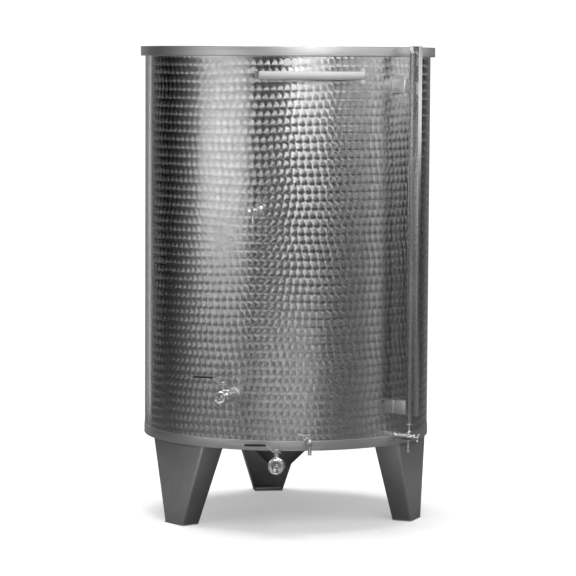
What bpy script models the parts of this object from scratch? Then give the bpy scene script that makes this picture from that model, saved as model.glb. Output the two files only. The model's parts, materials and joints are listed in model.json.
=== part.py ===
"""Open-topped vertical storage tank in stainless sheet, on three folded legs.

Metres, +Z up. The origin is on the tank's axis at floor level. Angles are in degrees, counted from the
front (-Y) towards +X. A fitting is modelled in its own frame: X points outwards from the tank, Y runs
round it towards larger angles and Z points up.
"""
import math

import bmesh
import bpy
from mathutils import Matrix, Vector

# Tank
TANK_RADIUS = 0.5525
SHELL_SHEET = 0.0015
RIM_TOP = 1.815
LEG_HEIGHT = 0.315
SEAT_GAP = 0.0003
FACETS = 96
SHELL_PANELS = 8

# Folded rim round the open top
RIM_HEIGHT = 0.037
RIM_REACH = 0.018
RIM_SHEET = 0.0015
RIM_SECTIONS = 4

# Plain band over the lower edge of the shell
BAND_HEIGHT = 0.037
BAND_RADIUS = TANK_RADIUS + 0.002

# Sloping bottom and its sump
BOTTOM_SHEET = 0.002
BOTTOM_FRONT = 0.318
BOTTOM_SLOPE = 0.03
SUMP_ANGLE = -11.6
SUMP_DISTANCE = 0.390
SUMP_TOP_RADIUS = 0.125
SUMP_FLOOR_RADIUS = 0.041
SUMP_FLOOR = 0.240
SUMP_FACETS = 48

# Legs, each one folded from sheet into a channel that is open towards the axis
LEG_ANGLES = {"front_left": -60.0, "front_right": 60.0, "rear": 180.0}
LEG_SHEET = 0.003
LEG_TOP = {"half_width": 0.167, "face": 0.522, "depth": 0.101}
LEG_FOOT = {"half_width": 0.0575, "face": 0.543, "depth": 0.0765}
FOOT_PLATE = 0.004
FOOT_STRIP_HEIGHT = 0.015

# Straight bar in front of the upper shell
BAR_HALF_LENGTH = 0.200
BAR_STANDOFF = 0.060
BAR_HEIGHT = 0.030
BAR_CENTRE = 1.7078
STRAP_SHEET = 0.003

# Ball valves
PARTIAL_OUTLET = {
    "angle": -29.15,
    "distance": 0.6505,
    "height": 0.523,
    "half_length": 0.038,
    "end_radius": 0.024,
    "body_radius": 0.0255,
    "socket_radius": 0.0185,
    "socket_depth": 0.014,
    "bore_radius": 0.0125,
    "ball_radius": 0.020,
    "lever_height": 0.045,
}
TOTAL_OUTLET = {
    "angle": SUMP_ANGLE,
    "distance": 0.600,
    "height": 0.2665,
    "half_length": 0.042,
    "end_radius": 0.029,
    "body_radius": 0.0310,
    "socket_radius": 0.0235,
    "socket_depth": 0.015,
    "bore_radius": 0.016,
    "ball_radius": 0.0245,
    "lever_height": 0.050,
}
PARTIAL_PIPE_RADIUS = 0.0212
TOTAL_PIPE_RADIUS = 0.02415
PIPE_WALL = 0.002
BALL_CLEARANCE = 0.0008
STEM_RADIUS = 0.0045
COLLAR_RADIUS = 0.0075
NECK_RADIUS = 0.009
STOP_PLATE_RADIUS = 0.012
STOP_PLATE_SHEET = 0.002
COLLAR_HEIGHT = 0.006
LEVER_SHEET = 0.0025
LEVER_WIDTH = 0.018
LEVER_LENGTH = 0.116
LEVER_RISE = 0.024
LEVER_BEND = (0.014, 0.040)
LEVER_HEEL = 0.015
HEEL_DROP = 0.006
NUT_RADIUS = 0.0092
NUT_HEIGHT = 0.008
GRIP_LENGTH = 0.077
GRIP_WIDTH = 0.0225
GRIP_THICKNESS = 0.0058

# Tasting tap
TASTING_TAP = {"angle": -19.7, "height": 1.212}
TASTING_ROSETTE_RADIUS = 0.020
TASTING_PIPE_RADIUS = 0.011
TASTING_COLLAR_RADIUS = 0.0175
TASTING_BODY_RADIUS = 0.012
TASTING_LENGTHS = {"rosette": 0.003, "pipe": 0.050, "collar": 0.066, "body": 0.097, "knob": 0.110}
TASTING_SPOUT_PLACE = 0.086
TASTING_SPOUT_DROP = 0.045
TASTING_SPOUT_RADIUS = 0.005

# Small tap at the band
BAND_TAP = {"angle": 0.0, "height": 0.3527}
BAND_TAP_ROSETTE_RADIUS = 0.013
BAND_TAP_PIPE_RADIUS = 0.009
BAND_TAP_CHEST_RADIUS = 0.011
BAND_TAP_LENGTHS = {"rosette": 0.003, "pipe": 0.042, "chest": 0.066}
BAND_TAP_SPINDLE = 0.054
BAND_TAP_NECK_RADIUS = 0.006
BAND_TAP_NECK_TOP = 0.024
BAND_TAP_HUB_RADIUS = 0.009
BAND_TAP_HUB_HEIGHT = 0.008
BAND_TAP_LEVER_LENGTH = 0.048
BAND_TAP_LEVER_WIDTH = 0.012
BAND_TAP_SPOUT_RADIUS = 0.008
BAND_TAP_SPOUT_DROP = 0.046

# Level gauge
GAUGE_ANGLE = 40.4
GAUGE_TAP_HEIGHT = 0.350
GAUGE_ROSETTE_RADIUS = 0.0165
GAUGE_BODY_RADIUS = 0.011
GAUGE_COLLAR_RADIUS = 0.013
GAUGE_LENGTHS = {"rosette": 0.003, "body": 0.084, "collar": 0.096}
GAUGE_SPOUT_PLACE = 0.060
GAUGE_SPOUT_RADIUS = 0.0055
GAUGE_SPOUT_DROP = 0.059
TUBE_STANDOFF = 0.0672
TUBE_RADIUS = 0.0065
TUBE_WALL = 0.0015
TUBE_TOP = 1.790
GLAND_RADIUS = 0.013
GLAND_BOTTOM = 0.046
GLAND_TOP = 0.050
BOSS_RADIUS = 0.008
BOSS_TOP = 0.024
PIN_RADIUS = 0.003
CAP_RADIUS = 0.0067
CAP_HEIGHT = 0.010
GUARD_INNER = 0.0585
GUARD_OUTER = 0.1036
GUARD_HALF_WIDTH = 0.0107
GUARD_SHEET = 0.0015
GUARD_BOTTOM = 0.431
GUARD_TOP = 1.818
BRACKET_HEIGHT = 0.050
UPPER_BRACKET_CENTRE = 1.6695
UPPER_BRACKET_HALF_WIDTH = 0.0366
LOWER_BRACKET_CENTRE = 0.460
LOWER_BRACKET_HALF_WIDTH = 0.0170
WING_SHEET = 0.004
WING_REACH = 0.017
WING_TILT = 25.0
WING_HUB_RADIUS = 0.008
WING_HUB_LENGTH = 0.014

# Base colour, roughness and metallic value of each finish
FINISHES = {
    "marbled_steel": ((0.56, 0.56, 0.56), 0.30, 1.0),
    "brushed_steel": ((0.60, 0.60, 0.60), 0.35, 1.0),
    "polished_steel": ((0.70, 0.70, 0.69), 0.15, 1.0),
    "black_sleeve": ((0.02, 0.02, 0.02), 0.50, 0.0),
    "clear_tube": ((0.85, 0.87, 0.87), 0.10, 0.0),
}


def clear_scene():
    for leftover in list(bpy.data.objects):
        bpy.data.objects.remove(leftover, do_unlink=True)


def polar(angle, distance, height):
    turn = math.radians(angle)
    return Vector((distance * math.sin(turn), -distance * math.cos(turn), height))


def add_finish(obj, finish):
    colour, roughness, metallic = FINISHES[finish]
    material = bpy.data.materials.new(obj.name + "_" + finish)
    material.use_nodes = True
    shader = material.node_tree.nodes["Principled BSDF"]
    shader.inputs["Base Color"].default_value = (*colour, 1.0)
    shader.inputs["Roughness"].default_value = roughness
    shader.inputs["Metallic"].default_value = metallic
    obj.data.materials.append(material)


def add_object(name, shape, angle=90.0, distance=0.0, height=0.0):
    """Turns a bmesh into an object whose local X points outwards at the given angle."""
    bmesh.ops.recalc_face_normals(shape, faces=shape.faces)
    mesh = bpy.data.meshes.new(name)
    shape.to_mesh(mesh)
    shape.free()
    mesh.shade_smooth()
    mesh.set_sharp_from_angle(angle=math.radians(35))
    obj = bpy.data.objects.new(name, mesh)
    obj.location = polar(angle, distance, height)
    obj.rotation_euler.z = math.radians(angle - 90.0)
    bpy.context.scene.collection.objects.link(obj)
    return obj


def add_piece(name, shape, finish, **place):
    obj = add_object(name, shape, **place)
    add_finish(obj, finish)
    return obj


def apply_cutter(target, cutter, operation="DIFFERENCE"):
    cutter.hide_render = True
    cutter.display_type = "WIRE"
    modifier = target.modifiers.new(cutter.name, "BOOLEAN")
    modifier.operation = operation
    modifier.solver = "EXACT"
    modifier.object = cutter


def turned(profile, axis, steps=32, closed=False):
    """Spins a profile of (along, radius) points about the X, Y or Z axis."""
    directions = {
        "X": (Vector((1, 0, 0)), Vector((0, 0, 1))),
        "Y": (Vector((0, 1, 0)), Vector((0, 0, 1))),
        "Z": (Vector((0, 0, 1)), Vector((1, 0, 0))),
    }
    along, outwards = directions[axis]
    shape = bmesh.new()
    points = [shape.verts.new(along * place + outwards * radius) for place, radius in profile]
    edges = [shape.edges.new(pair) for pair in zip(points, points[1:])]
    if closed:
        edges.append(shape.edges.new((points[-1], points[0])))
    bmesh.ops.spin(shape, geom=points + edges, cent=(0, 0, 0), axis=along,
                   angle=math.tau, steps=steps, use_merge=True)
    bmesh.ops.remove_doubles(shape, verts=shape.verts, dist=0.00001)
    return shape


def swept(section, start, sweep, steps):
    """Sweeps a closed section of (distance, height) points round the tank's axis."""
    shape = bmesh.new()
    points = [shape.verts.new(polar(start, distance, height)) for distance, height in section]
    edges = [shape.edges.new((points[i - 1], points[i])) for i in range(len(points))]
    full = abs(sweep - 360.0) < 0.001
    bmesh.ops.spin(shape, geom=points + edges, cent=(0, 0, 0), axis=(0, 0, 1),
                   angle=math.radians(sweep), steps=steps, use_merge=full)
    if full:
        bmesh.ops.remove_doubles(shape, verts=shape.verts, dist=0.00001)
    else:
        ends = [edge for edge in shape.edges if edge.is_boundary]
        bmesh.ops.holes_fill(shape, edges=ends, sides=0)
    return shape


def skinned(loops):
    """Joins loops with equal numbers of points into one solid, closed at both ends."""
    shape = bmesh.new()
    rings = [[shape.verts.new(point) for point in loop] for loop in loops]
    for lower, upper in zip(rings, rings[1:]):
        for i in range(len(lower)):
            shape.faces.new((lower[i - 1], lower[i], upper[i], upper[i - 1]))
    shape.faces.new(rings[0])
    shape.faces.new(rings[-1])
    return shape


def boxed(low, high):
    corners = [(low[0], low[1]), (high[0], low[1]), (high[0], high[1]), (low[0], high[1])]
    return skinned([[(x, y, height) for x, y in corners] for height in (low[2], high[2])])


def upright(outline, bottom, top):
    return skinned([[(x, y, height) for x, y in outline] for height in (bottom, top)])


def bottom_underside(point):
    return BOTTOM_FRONT + BOTTOM_SLOPE * (point.y + TANK_RADIUS)


def build_shell():
    section = [
        (TANK_RADIUS - SHELL_SHEET, LEG_HEIGHT),
        (TANK_RADIUS, LEG_HEIGHT),
        (TANK_RADIUS, RIM_TOP - RIM_SHEET - SEAT_GAP),
        (TANK_RADIUS - SHELL_SHEET, RIM_TOP - RIM_SHEET - SEAT_GAP),
    ]
    width = 360.0 / SHELL_PANELS
    seam = math.degrees(SEAT_GAP / TANK_RADIUS)
    pipe_hole = add_object("partial_outlet_hole", turned(
        [(-0.02, 0), (-0.02, PARTIAL_PIPE_RADIUS + SEAT_GAP), (0.02, PARTIAL_PIPE_RADIUS + SEAT_GAP), (0.02, 0)],
        "X"), angle=PARTIAL_OUTLET["angle"], distance=TANK_RADIUS, height=PARTIAL_OUTLET["height"])
    for number in range(SHELL_PANELS):
        start = (number - 0.5) * width
        shape = swept(section, start + seam / 2, width - seam, FACETS // SHELL_PANELS)
        panel = add_piece("shell_panel_{}".format(number + 1), shape, "marbled_steel")
        offset = (PARTIAL_OUTLET["angle"] - start) % 360.0
        if offset < width:
            apply_cutter(panel, pipe_hole)


def build_rim():
    outer = TANK_RADIUS + RIM_REACH
    lip = TANK_RADIUS + SEAT_GAP
    low = RIM_TOP - RIM_HEIGHT
    section = [
        (TANK_RADIUS - SHELL_SHEET, RIM_TOP),
        (outer, RIM_TOP),
        (outer, low),
        (lip, low),
        (lip, low + RIM_SHEET),
        (outer - RIM_SHEET, low + RIM_SHEET),
        (outer - RIM_SHEET, RIM_TOP - RIM_SHEET),
        (TANK_RADIUS - SHELL_SHEET, RIM_TOP - RIM_SHEET),
    ]
    width = 360.0 / RIM_SECTIONS
    seam = math.degrees(SEAT_GAP / TANK_RADIUS)
    for number in range(RIM_SECTIONS):
        start = (number - 0.5) * width
        shape = swept(section, start + seam / 2, width - seam, FACETS // RIM_SECTIONS)
        add_piece("top_rim_{}".format(number + 1), shape, "brushed_steel")


def build_base_band():
    section = [
        (TANK_RADIUS + SEAT_GAP, LEG_HEIGHT),
        (BAND_RADIUS, LEG_HEIGHT),
        (BAND_RADIUS, LEG_HEIGHT + BAND_HEIGHT),
        (TANK_RADIUS + SEAT_GAP, LEG_HEIGHT + BAND_HEIGHT),
    ]
    add_piece("base_band", swept(section, 0.0, 360.0, FACETS), "brushed_steel")


def sump_ring(radius, drop, facets=SUMP_FACETS):
    """A ring round the sump at a depth below the bottom's underside."""
    centre = polar(SUMP_ANGLE, SUMP_DISTANCE, 0)
    ring = []
    for i in range(facets):
        turn = math.tau * i / facets
        point = centre + Vector((radius * math.cos(turn), radius * math.sin(turn), 0))
        point.z = bottom_underside(point) - drop
        ring.append(point)
    return ring


def sump_floor_ring(radius, height):
    return [Vector((point.x, point.y, height)) for point in sump_ring(radius, 0)]


def build_bottom():
    edge_radius = TANK_RADIUS - SHELL_SHEET - SEAT_GAP
    loops = []
    for lift in (0.0, BOTTOM_SHEET):
        loop = [polar(360.0 * (i + 0.5) / FACETS, edge_radius, 0) for i in range(FACETS)]
        for point in loop:
            point.z = bottom_underside(point) + lift
        loops.append(loop)
    bottom = add_piece("tank_bottom", skinned(loops), "brushed_steel")
    hole = add_object("sump_hole", skinned([
        sump_ring(SUMP_TOP_RADIUS + SEAT_GAP, 0.02),
        sump_ring(SUMP_TOP_RADIUS + SEAT_GAP, -0.02),
    ]))
    apply_cutter(bottom, hole)

    sheet = BOTTOM_SHEET
    sump = add_piece("outlet_sump", skinned([
        sump_floor_ring(SUMP_FLOOR_RADIUS - sheet, SUMP_FLOOR + sheet),
        sump_ring(SUMP_TOP_RADIUS - sheet, -sheet),
        sump_ring(SUMP_TOP_RADIUS, -sheet),
        sump_ring(SUMP_TOP_RADIUS, 0),
        sump_floor_ring(SUMP_FLOOR_RADIUS, SUMP_FLOOR),
    ]), "brushed_steel")
    bore = TOTAL_PIPE_RADIUS - PIPE_WALL
    drain = add_object("sump_drain_hole", turned([(0, 0), (0, bore), (0.14, bore), (0.14, 0)], "X"),
                       angle=SUMP_ANGLE, distance=SUMP_DISTANCE, height=TOTAL_OUTLET["height"])
    apply_cutter(sump, drain)


def leg_outline(size):
    face = size["face"]
    back = face - size["depth"]
    half = size["half_width"]
    return [
        (back, -half), (face, -half), (face, half), (back, half),
        (back, half - LEG_SHEET), (face - LEG_SHEET, half - LEG_SHEET),
        (face - LEG_SHEET, LEG_SHEET - half), (back, LEG_SHEET - half),
    ]


def build_leg(side, angle):
    turn = math.radians(angle - 90.0)
    top = []
    for x, y in leg_outline(LEG_TOP):
        world = Vector((x * math.cos(turn) - y * math.sin(turn), x * math.sin(turn) + y * math.cos(turn), 0))
        top.append((x, y, bottom_underside(world) - SEAT_GAP))
    foot = [(x, y, FOOT_PLATE + SEAT_GAP) for x, y in leg_outline(LEG_FOOT)]
    add_piece(side + "_leg", skinned([foot, top]), "brushed_steel", angle=angle)

    face = LEG_FOOT["face"]
    back = face - LEG_FOOT["depth"]
    half = LEG_FOOT["half_width"]
    plate = add_piece(side + "_foot", boxed((back, -half, 0), (face, half, FOOT_PLATE)), "brushed_steel",
                      angle=angle)
    inside = half - LEG_SHEET - 0.001
    strip = add_object(side + "_foot_strip", boxed(
        (back, -inside, FOOT_PLATE / 2), (back + LEG_SHEET, inside, FOOT_STRIP_HEIGHT)), angle=angle)
    apply_cutter(plate, strip, "UNION")


def strap_outline(half_width, standoff):
    """Plan of a strap that stands off the shell on two legs of its own."""
    face = TANK_RADIUS + standoff
    inside = half_width - STRAP_SHEET
    end = math.sqrt(TANK_RADIUS ** 2 - inside ** 2) + SEAT_GAP
    return [
        (end, -half_width), (face, -half_width), (face, half_width), (end, half_width),
        (end, inside), (face - STRAP_SHEET, inside), (face - STRAP_SHEET, -inside), (end, -inside),
    ]


def build_strap(name, angle, half_width, standoff, centre, height):
    outline = strap_outline(half_width, standoff)
    add_piece(name, upright(outline, -height / 2, height / 2), "brushed_steel",
              angle=angle, distance=0.0, height=centre)


def valve_body_profile(size):
    end = size["half_length"]
    rim = size["end_radius"]
    waist = rim - 0.002
    middle = size["body_radius"]
    socket = size["socket_radius"]
    bore = size["bore_radius"]
    chamber = size["ball_radius"] + BALL_CLEARANCE
    seat = math.sqrt(chamber ** 2 - bore ** 2)
    half_outside = [(0.014, middle), (0.016, waist), (end - 0.014, waist), (end - 0.012, rim), (end, rim)]
    half_inside = [(end, socket + 0.002), (end - 0.002, socket), (end - size["socket_depth"], socket),
                   (end - size["socket_depth"], bore)]
    arc_steps = 10
    arc = []
    for i in range(arc_steps + 1):
        place = seat * (1 - 2 * i / arc_steps)
        arc.append((place, math.sqrt(chamber ** 2 - place ** 2)))
    mirrored_inside = [(-place, radius) for place, radius in reversed(half_inside)]
    mirrored_outside = [(-place, radius) for place, radius in reversed(half_outside)]
    return half_outside + half_inside + arc + mirrored_inside + mirrored_outside


def ball_profile(size):
    ball = size["ball_radius"]
    bore = size["bore_radius"]
    face = math.sqrt(ball ** 2 - bore ** 2)
    arc_steps = 12
    arc = []
    for i in range(arc_steps + 1):
        place = face * (2 * i / arc_steps - 1)
        arc.append((place, math.sqrt(ball ** 2 - place ** 2)))
    return arc


def build_lever(prefix, size, place):
    """The lever points along -Y of its own frame, across the pipe: the valve is shut."""
    low = size["lever_height"]
    high = low + LEVER_RISE
    bend_start, bend_end = LEVER_BEND
    outline = [
        (-LEVER_HEEL, low - HEEL_DROP), (-LEVER_HEEL + LEVER_SHEET, low - HEEL_DROP),
        (-LEVER_HEEL + LEVER_SHEET, low), (bend_start, low), (bend_end, high), (LEVER_LENGTH, high),
        (LEVER_LENGTH, high + LEVER_SHEET), (bend_end - 0.001, high + LEVER_SHEET),
        (bend_start - 0.001, low + LEVER_SHEET), (-LEVER_HEEL, low + LEVER_SHEET),
    ]
    loops = [[(side * LEVER_WIDTH / 2, -along, height) for along, height in outline] for side in (-1, 1)]
    lever = add_piece(prefix + "_lever", skinned(loops), "brushed_steel", **place)
    hole_radius = STEM_RADIUS + SEAT_GAP
    hole = add_object(prefix + "_lever_hole", turned(
        [(low - 0.01, 0), (low - 0.01, hole_radius), (low + 0.01, hole_radius), (low + 0.01, 0)], "Z", 16),
        **place)
    apply_cutter(lever, hole)

    tip = LEVER_LENGTH + 0.003
    middle = high + LEVER_SHEET / 2
    grip = add_piece(prefix + "_grip", boxed(
        (-GRIP_WIDTH / 2, -tip, middle - GRIP_THICKNESS / 2),
        (GRIP_WIDTH / 2, GRIP_LENGTH - tip, middle + GRIP_THICKNESS / 2)), "black_sleeve", **place)
    slot_half_width = LEVER_WIDTH / 2 + SEAT_GAP
    slot_half_height = LEVER_SHEET / 2 + SEAT_GAP
    slot = add_object(prefix + "_grip_slot", boxed(
        (-slot_half_width, -LEVER_LENGTH - SEAT_GAP, middle - slot_half_height),
        (slot_half_width, 0.01 + GRIP_LENGTH - tip, middle + slot_half_height)), **place)
    apply_cutter(grip, slot)


def build_valve(prefix, size):
    place = {"angle": size["angle"], "distance": size["distance"], "height": size["height"]}
    chamber = size["ball_radius"] + BALL_CLEARANCE
    plate_top = size["lever_height"] - SEAT_GAP - COLLAR_HEIGHT - SEAT_GAP
    body = add_piece(prefix + "_valve_body", turned(valve_body_profile(size), "X", 32, True),
                     "polished_steel", **place)
    neck_start = (chamber + size["body_radius"]) / 2
    neck = add_object(prefix + "_neck", turned([
        (neck_start, 0), (neck_start, NECK_RADIUS), (plate_top - STOP_PLATE_SHEET, NECK_RADIUS),
        (plate_top - STOP_PLATE_SHEET, STOP_PLATE_RADIUS), (plate_top, STOP_PLATE_RADIUS), (plate_top, 0),
    ], "Z", 24), **place)
    apply_cutter(body, neck, "UNION")
    stem_hole = add_object(prefix + "_stem_hole", turned(
        [(0, 0), (0, STEM_RADIUS + SEAT_GAP), (0.06, STEM_RADIUS + SEAT_GAP), (0.06, 0)], "Z", 16), **place)
    apply_cutter(body, stem_hole)

    add_piece(prefix + "_ball", turned(ball_profile(size), "Y", 24, True), "polished_steel", **place)

    stem_bottom = size["ball_radius"] + SEAT_GAP
    collar_low = plate_top + SEAT_GAP
    collar_top = collar_low + COLLAR_HEIGHT
    nut_low = size["lever_height"] + LEVER_SHEET + SEAT_GAP
    stem_top = nut_low + NUT_HEIGHT - 0.002
    add_piece(prefix + "_stem", turned([
        (stem_bottom, 0), (stem_bottom, STEM_RADIUS), (collar_low, STEM_RADIUS), (collar_low, COLLAR_RADIUS),
        (collar_top, COLLAR_RADIUS), (collar_top, STEM_RADIUS), (stem_top, STEM_RADIUS), (stem_top, 0),
    ], "Z", 16), "polished_steel", **place)
    nut = add_piece(prefix + "_nut", turned([
        (nut_low, 0), (nut_low, NUT_RADIUS), (nut_low + NUT_HEIGHT, NUT_RADIUS), (nut_low + NUT_HEIGHT, 0),
    ], "Z", 6), "polished_steel", **place)
    nut_hole_radius = STEM_RADIUS + SEAT_GAP
    nut_hole_top = stem_top + SEAT_GAP
    nut_hole = add_object(prefix + "_nut_hole", turned([
        (0, 0), (0, nut_hole_radius), (nut_hole_top, nut_hole_radius), (nut_hole_top, 0),
    ], "Z", 16), **place)
    apply_cutter(nut, nut_hole)
    build_lever(prefix, size, place)


def pipe_tip_profile(size, pipe_radius, start):
    """A pipe whose reduced tip screws into the valve's inner socket."""
    socket_mouth = -size["half_length"]
    tip = size["socket_radius"] - SEAT_GAP - 0.0002
    end = socket_mouth + size["socket_depth"] - SEAT_GAP
    shoulder = socket_mouth - SEAT_GAP
    bore = pipe_radius - PIPE_WALL
    narrow = tip - PIPE_WALL
    return [
        (start, pipe_radius), (shoulder, pipe_radius), (shoulder, tip), (end, tip), (end, narrow),
        (shoulder - 0.004, narrow), (shoulder - 0.006, bore), (start, bore),
    ]


def build_partial_outlet():
    size = PARTIAL_OUTLET
    start = TANK_RADIUS - 0.004 - size["distance"]
    add_piece("partial_outlet_pipe", turned(pipe_tip_profile(size, PARTIAL_PIPE_RADIUS, start), "X", 32, True),
              "polished_steel", angle=size["angle"], distance=size["distance"], height=size["height"])
    build_valve("partial_outlet", size)


def build_total_outlet():
    size = TOTAL_OUTLET
    start = SUMP_DISTANCE + 0.030 - size["distance"]
    pipe = add_piece("total_outlet_pipe", turned(
        pipe_tip_profile(size, TOTAL_PIPE_RADIUS, start), "X", 32, True),
        "polished_steel", angle=size["angle"], distance=size["distance"], height=size["height"])
    grown = 0.0006
    sump_space = add_object("sump_space", skinned([
        sump_floor_ring(SUMP_FLOOR_RADIUS + grown, SUMP_FLOOR - grown),
        sump_ring(SUMP_TOP_RADIUS + grown, 0),
        sump_ring(SUMP_TOP_RADIUS + grown, -0.01),
    ]))
    apply_cutter(pipe, sump_space)
    build_valve("total_outlet", size)


def add_spout(name, place_along, radius, drop, body_radius, place):
    """A short pipe that hangs from a tap's round body and ends open."""
    bore = radius * 0.7
    spout = add_piece(name, turned([(-drop, radius), (0, radius), (0, bore), (-drop, bore)], "Z", 16, True),
                      "polished_steel", **place)
    spout.data.transform(Matrix.Translation((place_along, 0, 0)))
    saddle_radius = body_radius + SEAT_GAP
    saddle = add_object(name + "_saddle", turned([
        (place_along - 0.03, 0), (place_along - 0.03, saddle_radius),
        (place_along + 0.03, saddle_radius), (place_along + 0.03, 0),
    ], "X"), **place)
    apply_cutter(spout, saddle)


def build_tasting_tap():
    place = {"angle": TASTING_TAP["angle"], "distance": TANK_RADIUS + SEAT_GAP, "height": TASTING_TAP["height"]}
    ends = TASTING_LENGTHS
    add_piece("tasting_tap_body", turned([
        (0, 0), (0, TASTING_ROSETTE_RADIUS), (ends["rosette"], TASTING_ROSETTE_RADIUS),
        (ends["rosette"], TASTING_PIPE_RADIUS), (ends["pipe"], TASTING_PIPE_RADIUS),
        (ends["pipe"], TASTING_COLLAR_RADIUS), (ends["collar"], TASTING_COLLAR_RADIUS),
        (ends["collar"], TASTING_BODY_RADIUS), (ends["body"], TASTING_BODY_RADIUS), (ends["body"], 0),
    ], "X"), "polished_steel", **place)
    add_spout("tasting_tap_spout", TASTING_SPOUT_PLACE, TASTING_SPOUT_RADIUS, TASTING_SPOUT_DROP,
              TASTING_BODY_RADIUS, place)
    knob = ends["body"] + SEAT_GAP
    add_piece("tasting_tap_knob", turned([
        (knob, 0), (knob, 0.0125), (knob + 0.002, 0.0145), (ends["knob"] - 0.003, 0.0145),
        (ends["knob"], 0.0115), (ends["knob"], 0),
    ], "X", 24), "polished_steel", **place)


def build_band_tap():
    place = {"angle": BAND_TAP["angle"], "distance": BAND_RADIUS + SEAT_GAP, "height": BAND_TAP["height"]}
    ends = BAND_TAP_LENGTHS
    body = add_piece("band_tap_body", turned([
        (0, 0), (0, BAND_TAP_ROSETTE_RADIUS), (ends["rosette"], BAND_TAP_ROSETTE_RADIUS),
        (ends["rosette"], BAND_TAP_PIPE_RADIUS), (ends["pipe"], BAND_TAP_PIPE_RADIUS),
        (ends["pipe"], BAND_TAP_CHEST_RADIUS), (ends["chest"], BAND_TAP_CHEST_RADIUS), (ends["chest"], 0),
    ], "X"), "polished_steel", **place)
    neck = add_object("band_tap_neck", turned([
        (0, 0), (0, BAND_TAP_NECK_RADIUS), (BAND_TAP_NECK_TOP, BAND_TAP_NECK_RADIUS), (BAND_TAP_NECK_TOP, 0),
    ], "Z", 16), **place)
    neck.data.transform(Matrix.Translation((BAND_TAP_SPINDLE, 0, 0)))
    apply_cutter(body, neck, "UNION")
    add_spout("band_tap_spout", BAND_TAP_SPINDLE, BAND_TAP_SPOUT_RADIUS, BAND_TAP_SPOUT_DROP,
              BAND_TAP_CHEST_RADIUS, place)

    spindle = {**place, "distance": place["distance"] + BAND_TAP_SPINDLE}
    low = BAND_TAP_NECK_TOP + SEAT_GAP
    high = low + BAND_TAP_HUB_HEIGHT
    lever = add_piece("band_tap_lever", turned([
        (low, 0), (low, BAND_TAP_HUB_RADIUS), (high, BAND_TAP_HUB_RADIUS), (high, 0),
    ], "Z", 16), "polished_steel", **spindle)
    blade = [(0, low + 0.003), (0.018, low + 0.003), (BAND_TAP_LEVER_LENGTH, low + 0.007),
             (BAND_TAP_LEVER_LENGTH, low + 0.010), (0.018, low + 0.006), (0, low + 0.006)]
    half = BAND_TAP_LEVER_WIDTH / 2
    arm = add_object("band_tap_arm", skinned(
        [[(side * half, -along, height) for along, height in blade] for side in (-1, 1)]), **spindle)
    apply_cutter(lever, arm, "UNION")


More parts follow.
